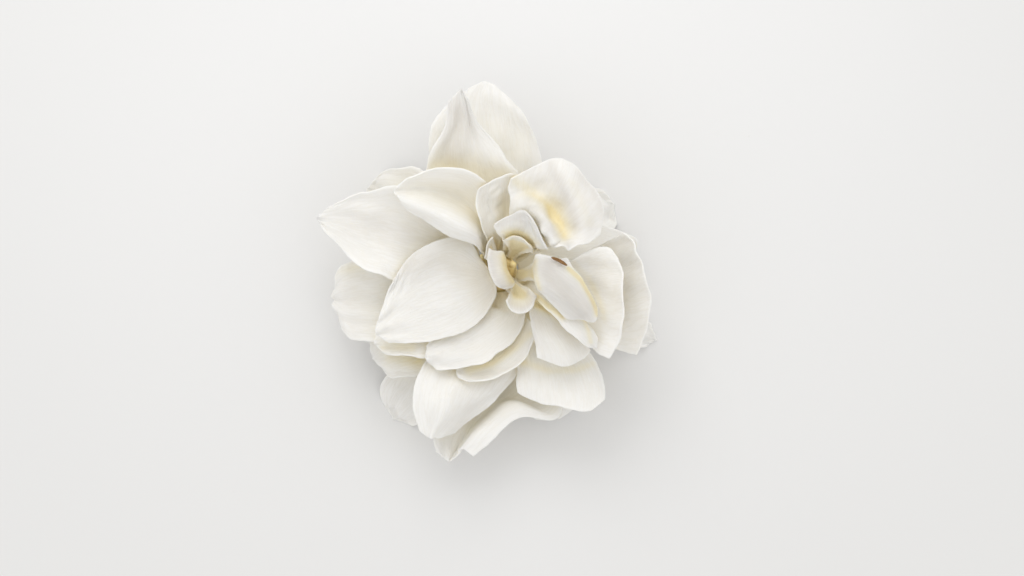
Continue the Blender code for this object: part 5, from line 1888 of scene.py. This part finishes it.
@dataclass(frozen=True)
class Studio:
    """The pale board under the flower, the soft light from above the picture, and the camera."""

    floor_size: float = 3.0
    floor_drop: float = 0.02 * MM
    ambient: float = 0.92
    ambient_colour: Colour = (1.0, 1.0, 1.0)
    window_power: float = 2.2
    window_size: float = 0.55
    window_place: tuple[float, float, float] = (-0.14, 0.61, 0.66)
    window_aim: tuple[float, float, float] = (0.0, 0.0, 0.02)
    camera_aim: tuple[float, float, float] = (4.2 * MM, -2.73 * MM, 25.0 * MM)
    camera_height: float = 0.9
    sensor: float = 36.0

    def build_floor(self) -> None:
        """Lay the board."""
        half = self.floor_size / 2.0
        mesh = bpy.data.meshes.new("pale_board")
        ring = [(-half, -half, 0.0), (half, -half, 0.0), (half, half, 0.0), (-half, half, 0.0)]
        mesh.from_pydata(ring, [], [(0, 1, 2, 3)])
        mesh.materials.append(FloorFinish().material())
        board = bpy.data.objects.new("pale_board", mesh)
        board.location.z = -self.floor_drop
        bpy.context.scene.collection.objects.link(board)

    def build_light(self) -> None:
        """Hang the window light and set the even light of the room."""
        world = bpy.data.worlds.new("room")
        world.use_nodes = True
        back = world.node_tree.nodes["Background"]
        back.inputs["Color"].default_value = (*self.ambient_colour, 1.0)
        back.inputs["Strength"].default_value = self.ambient
        bpy.context.scene.world = world
        light = bpy.data.lights.new("window", "AREA")
        light.energy = self.window_power
        light.size = self.window_size
        window = bpy.data.objects.new("window", light)
        window.location = self.window_place
        window.rotation_mode = "QUATERNION"
        way = Vector(self.window_aim) - Vector(self.window_place)
        window.rotation_quaternion = way.to_track_quat("-Z", "Y")
        bpy.context.scene.collection.objects.link(window)

    def build_camera(self, place: Array) -> None:
        """Set the camera straight above the flower.

        Args:
            place: the flower's move to the model's place, in millimetres.
        """
        data = bpy.data.cameras.new("camera")
        data.sensor_width = self.sensor
        data.lens = self.sensor * self.camera_height / (PHOTO_WIDTH * PIXEL)
        camera = bpy.data.objects.new("camera", data)
        aim = np.array(self.camera_aim) + place * MM
        camera.location = (aim[0], aim[1], aim[2] + self.camera_height)
        bpy.context.scene.collection.objects.link(camera)
        bpy.context.scene.camera = camera
        bpy.context.scene.view_settings.view_transform = "Standard"


GOLDEN = TissueFinish("golden_tissue", (0.90, 0.78, 0.45), (0.86, 0.70, 0.34), (0.74, 0.54, 0.22))
PALE_GREEN = TissueFinish("pale_green_tissue", (0.78, 0.76, 0.55), (0.70, 0.67, 0.42), (0.52, 0.47, 0.24))
OLIVE = TissueFinish("olive_tissue", (0.38, 0.43, 0.18), (0.27, 0.32, 0.12), (0.17, 0.17, 0.06))
CUT_STALK = TissueFinish("cut_stalk", (0.42, 0.42, 0.2), (0.28, 0.27, 0.12), (0.16, 0.12, 0.05))
STIGMA_SKIN = TissueFinish("stigma_tissue", (0.90, 0.80, 0.50), (0.84, 0.70, 0.36), (0.70, 0.52, 0.22))
ANTHER_SKIN = TissueFinish("anther_tissue", (0.40, 0.24, 0.10), (0.26, 0.14, 0.05), (0.13, 0.06, 0.02))

STIGMA = Spindle("stigma", Slot.CORE, ((3.68, 1.95, 21.75), (4.1, 2.1, 23.4), (4.8, 2.3, 25.0)),
                 (0.35, 0.4, 0.55, 0.75, 0.7, 0.4))
ANTHER = Spindle("anther_east", Slot.ANTHER, ((12.5, 3.6, 33.1), (14.0, 3.0, 32.8), (15.6, 2.0, 32.15)),
                 (0.24, 0.34, 0.38, 0.34, 0.22))


def main() -> None:
    """Build the flower, piece by piece, and the studio round it."""
    logging.basicConfig(level=logging.INFO, format="%(name)s: %(message)s")
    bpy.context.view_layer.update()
    plan = SheetPlan()
    ring_finish = PetalFinish("petal_skin")
    heart_finish = PetalFinish("heart_petal_skin", root_warmth=0.4, inner_warmth=0.3, subsurface=0.5,
                               scatter=2.6 * MM)
    finishes = {ring: ring_finish for ring in Ring} | {Ring.HEART: heart_finish}
    bloom = Bloom(PETALS, plan, Shelter(), finishes)
    place = bloom.place()
    log.info("the bloom is moved by %.2f, %.2f mm", place[0], place[1])
    workshop = Workshop(place)
    bloom.build(workshop, BladeWork(plan))
    for body, finish in ((Core(), GOLDEN), (CorollaTube(), PALE_GREEN), (Calyx(), OLIVE),
                         (PedicelEnd(), CUT_STALK)):
        body.build(workshop, plan.axis, finish)
    STIGMA.build(workshop, STIGMA_SKIN)
    ANTHER.build(workshop, ANTHER_SKIN)
    log.info("%d pieces built", workshop.count)
    studio = Studio()
    studio.build_floor()
    studio.build_light()
    studio.build_camera(place)
    bpy.context.view_layer.update()


if __name__ == "__main__":
    main()
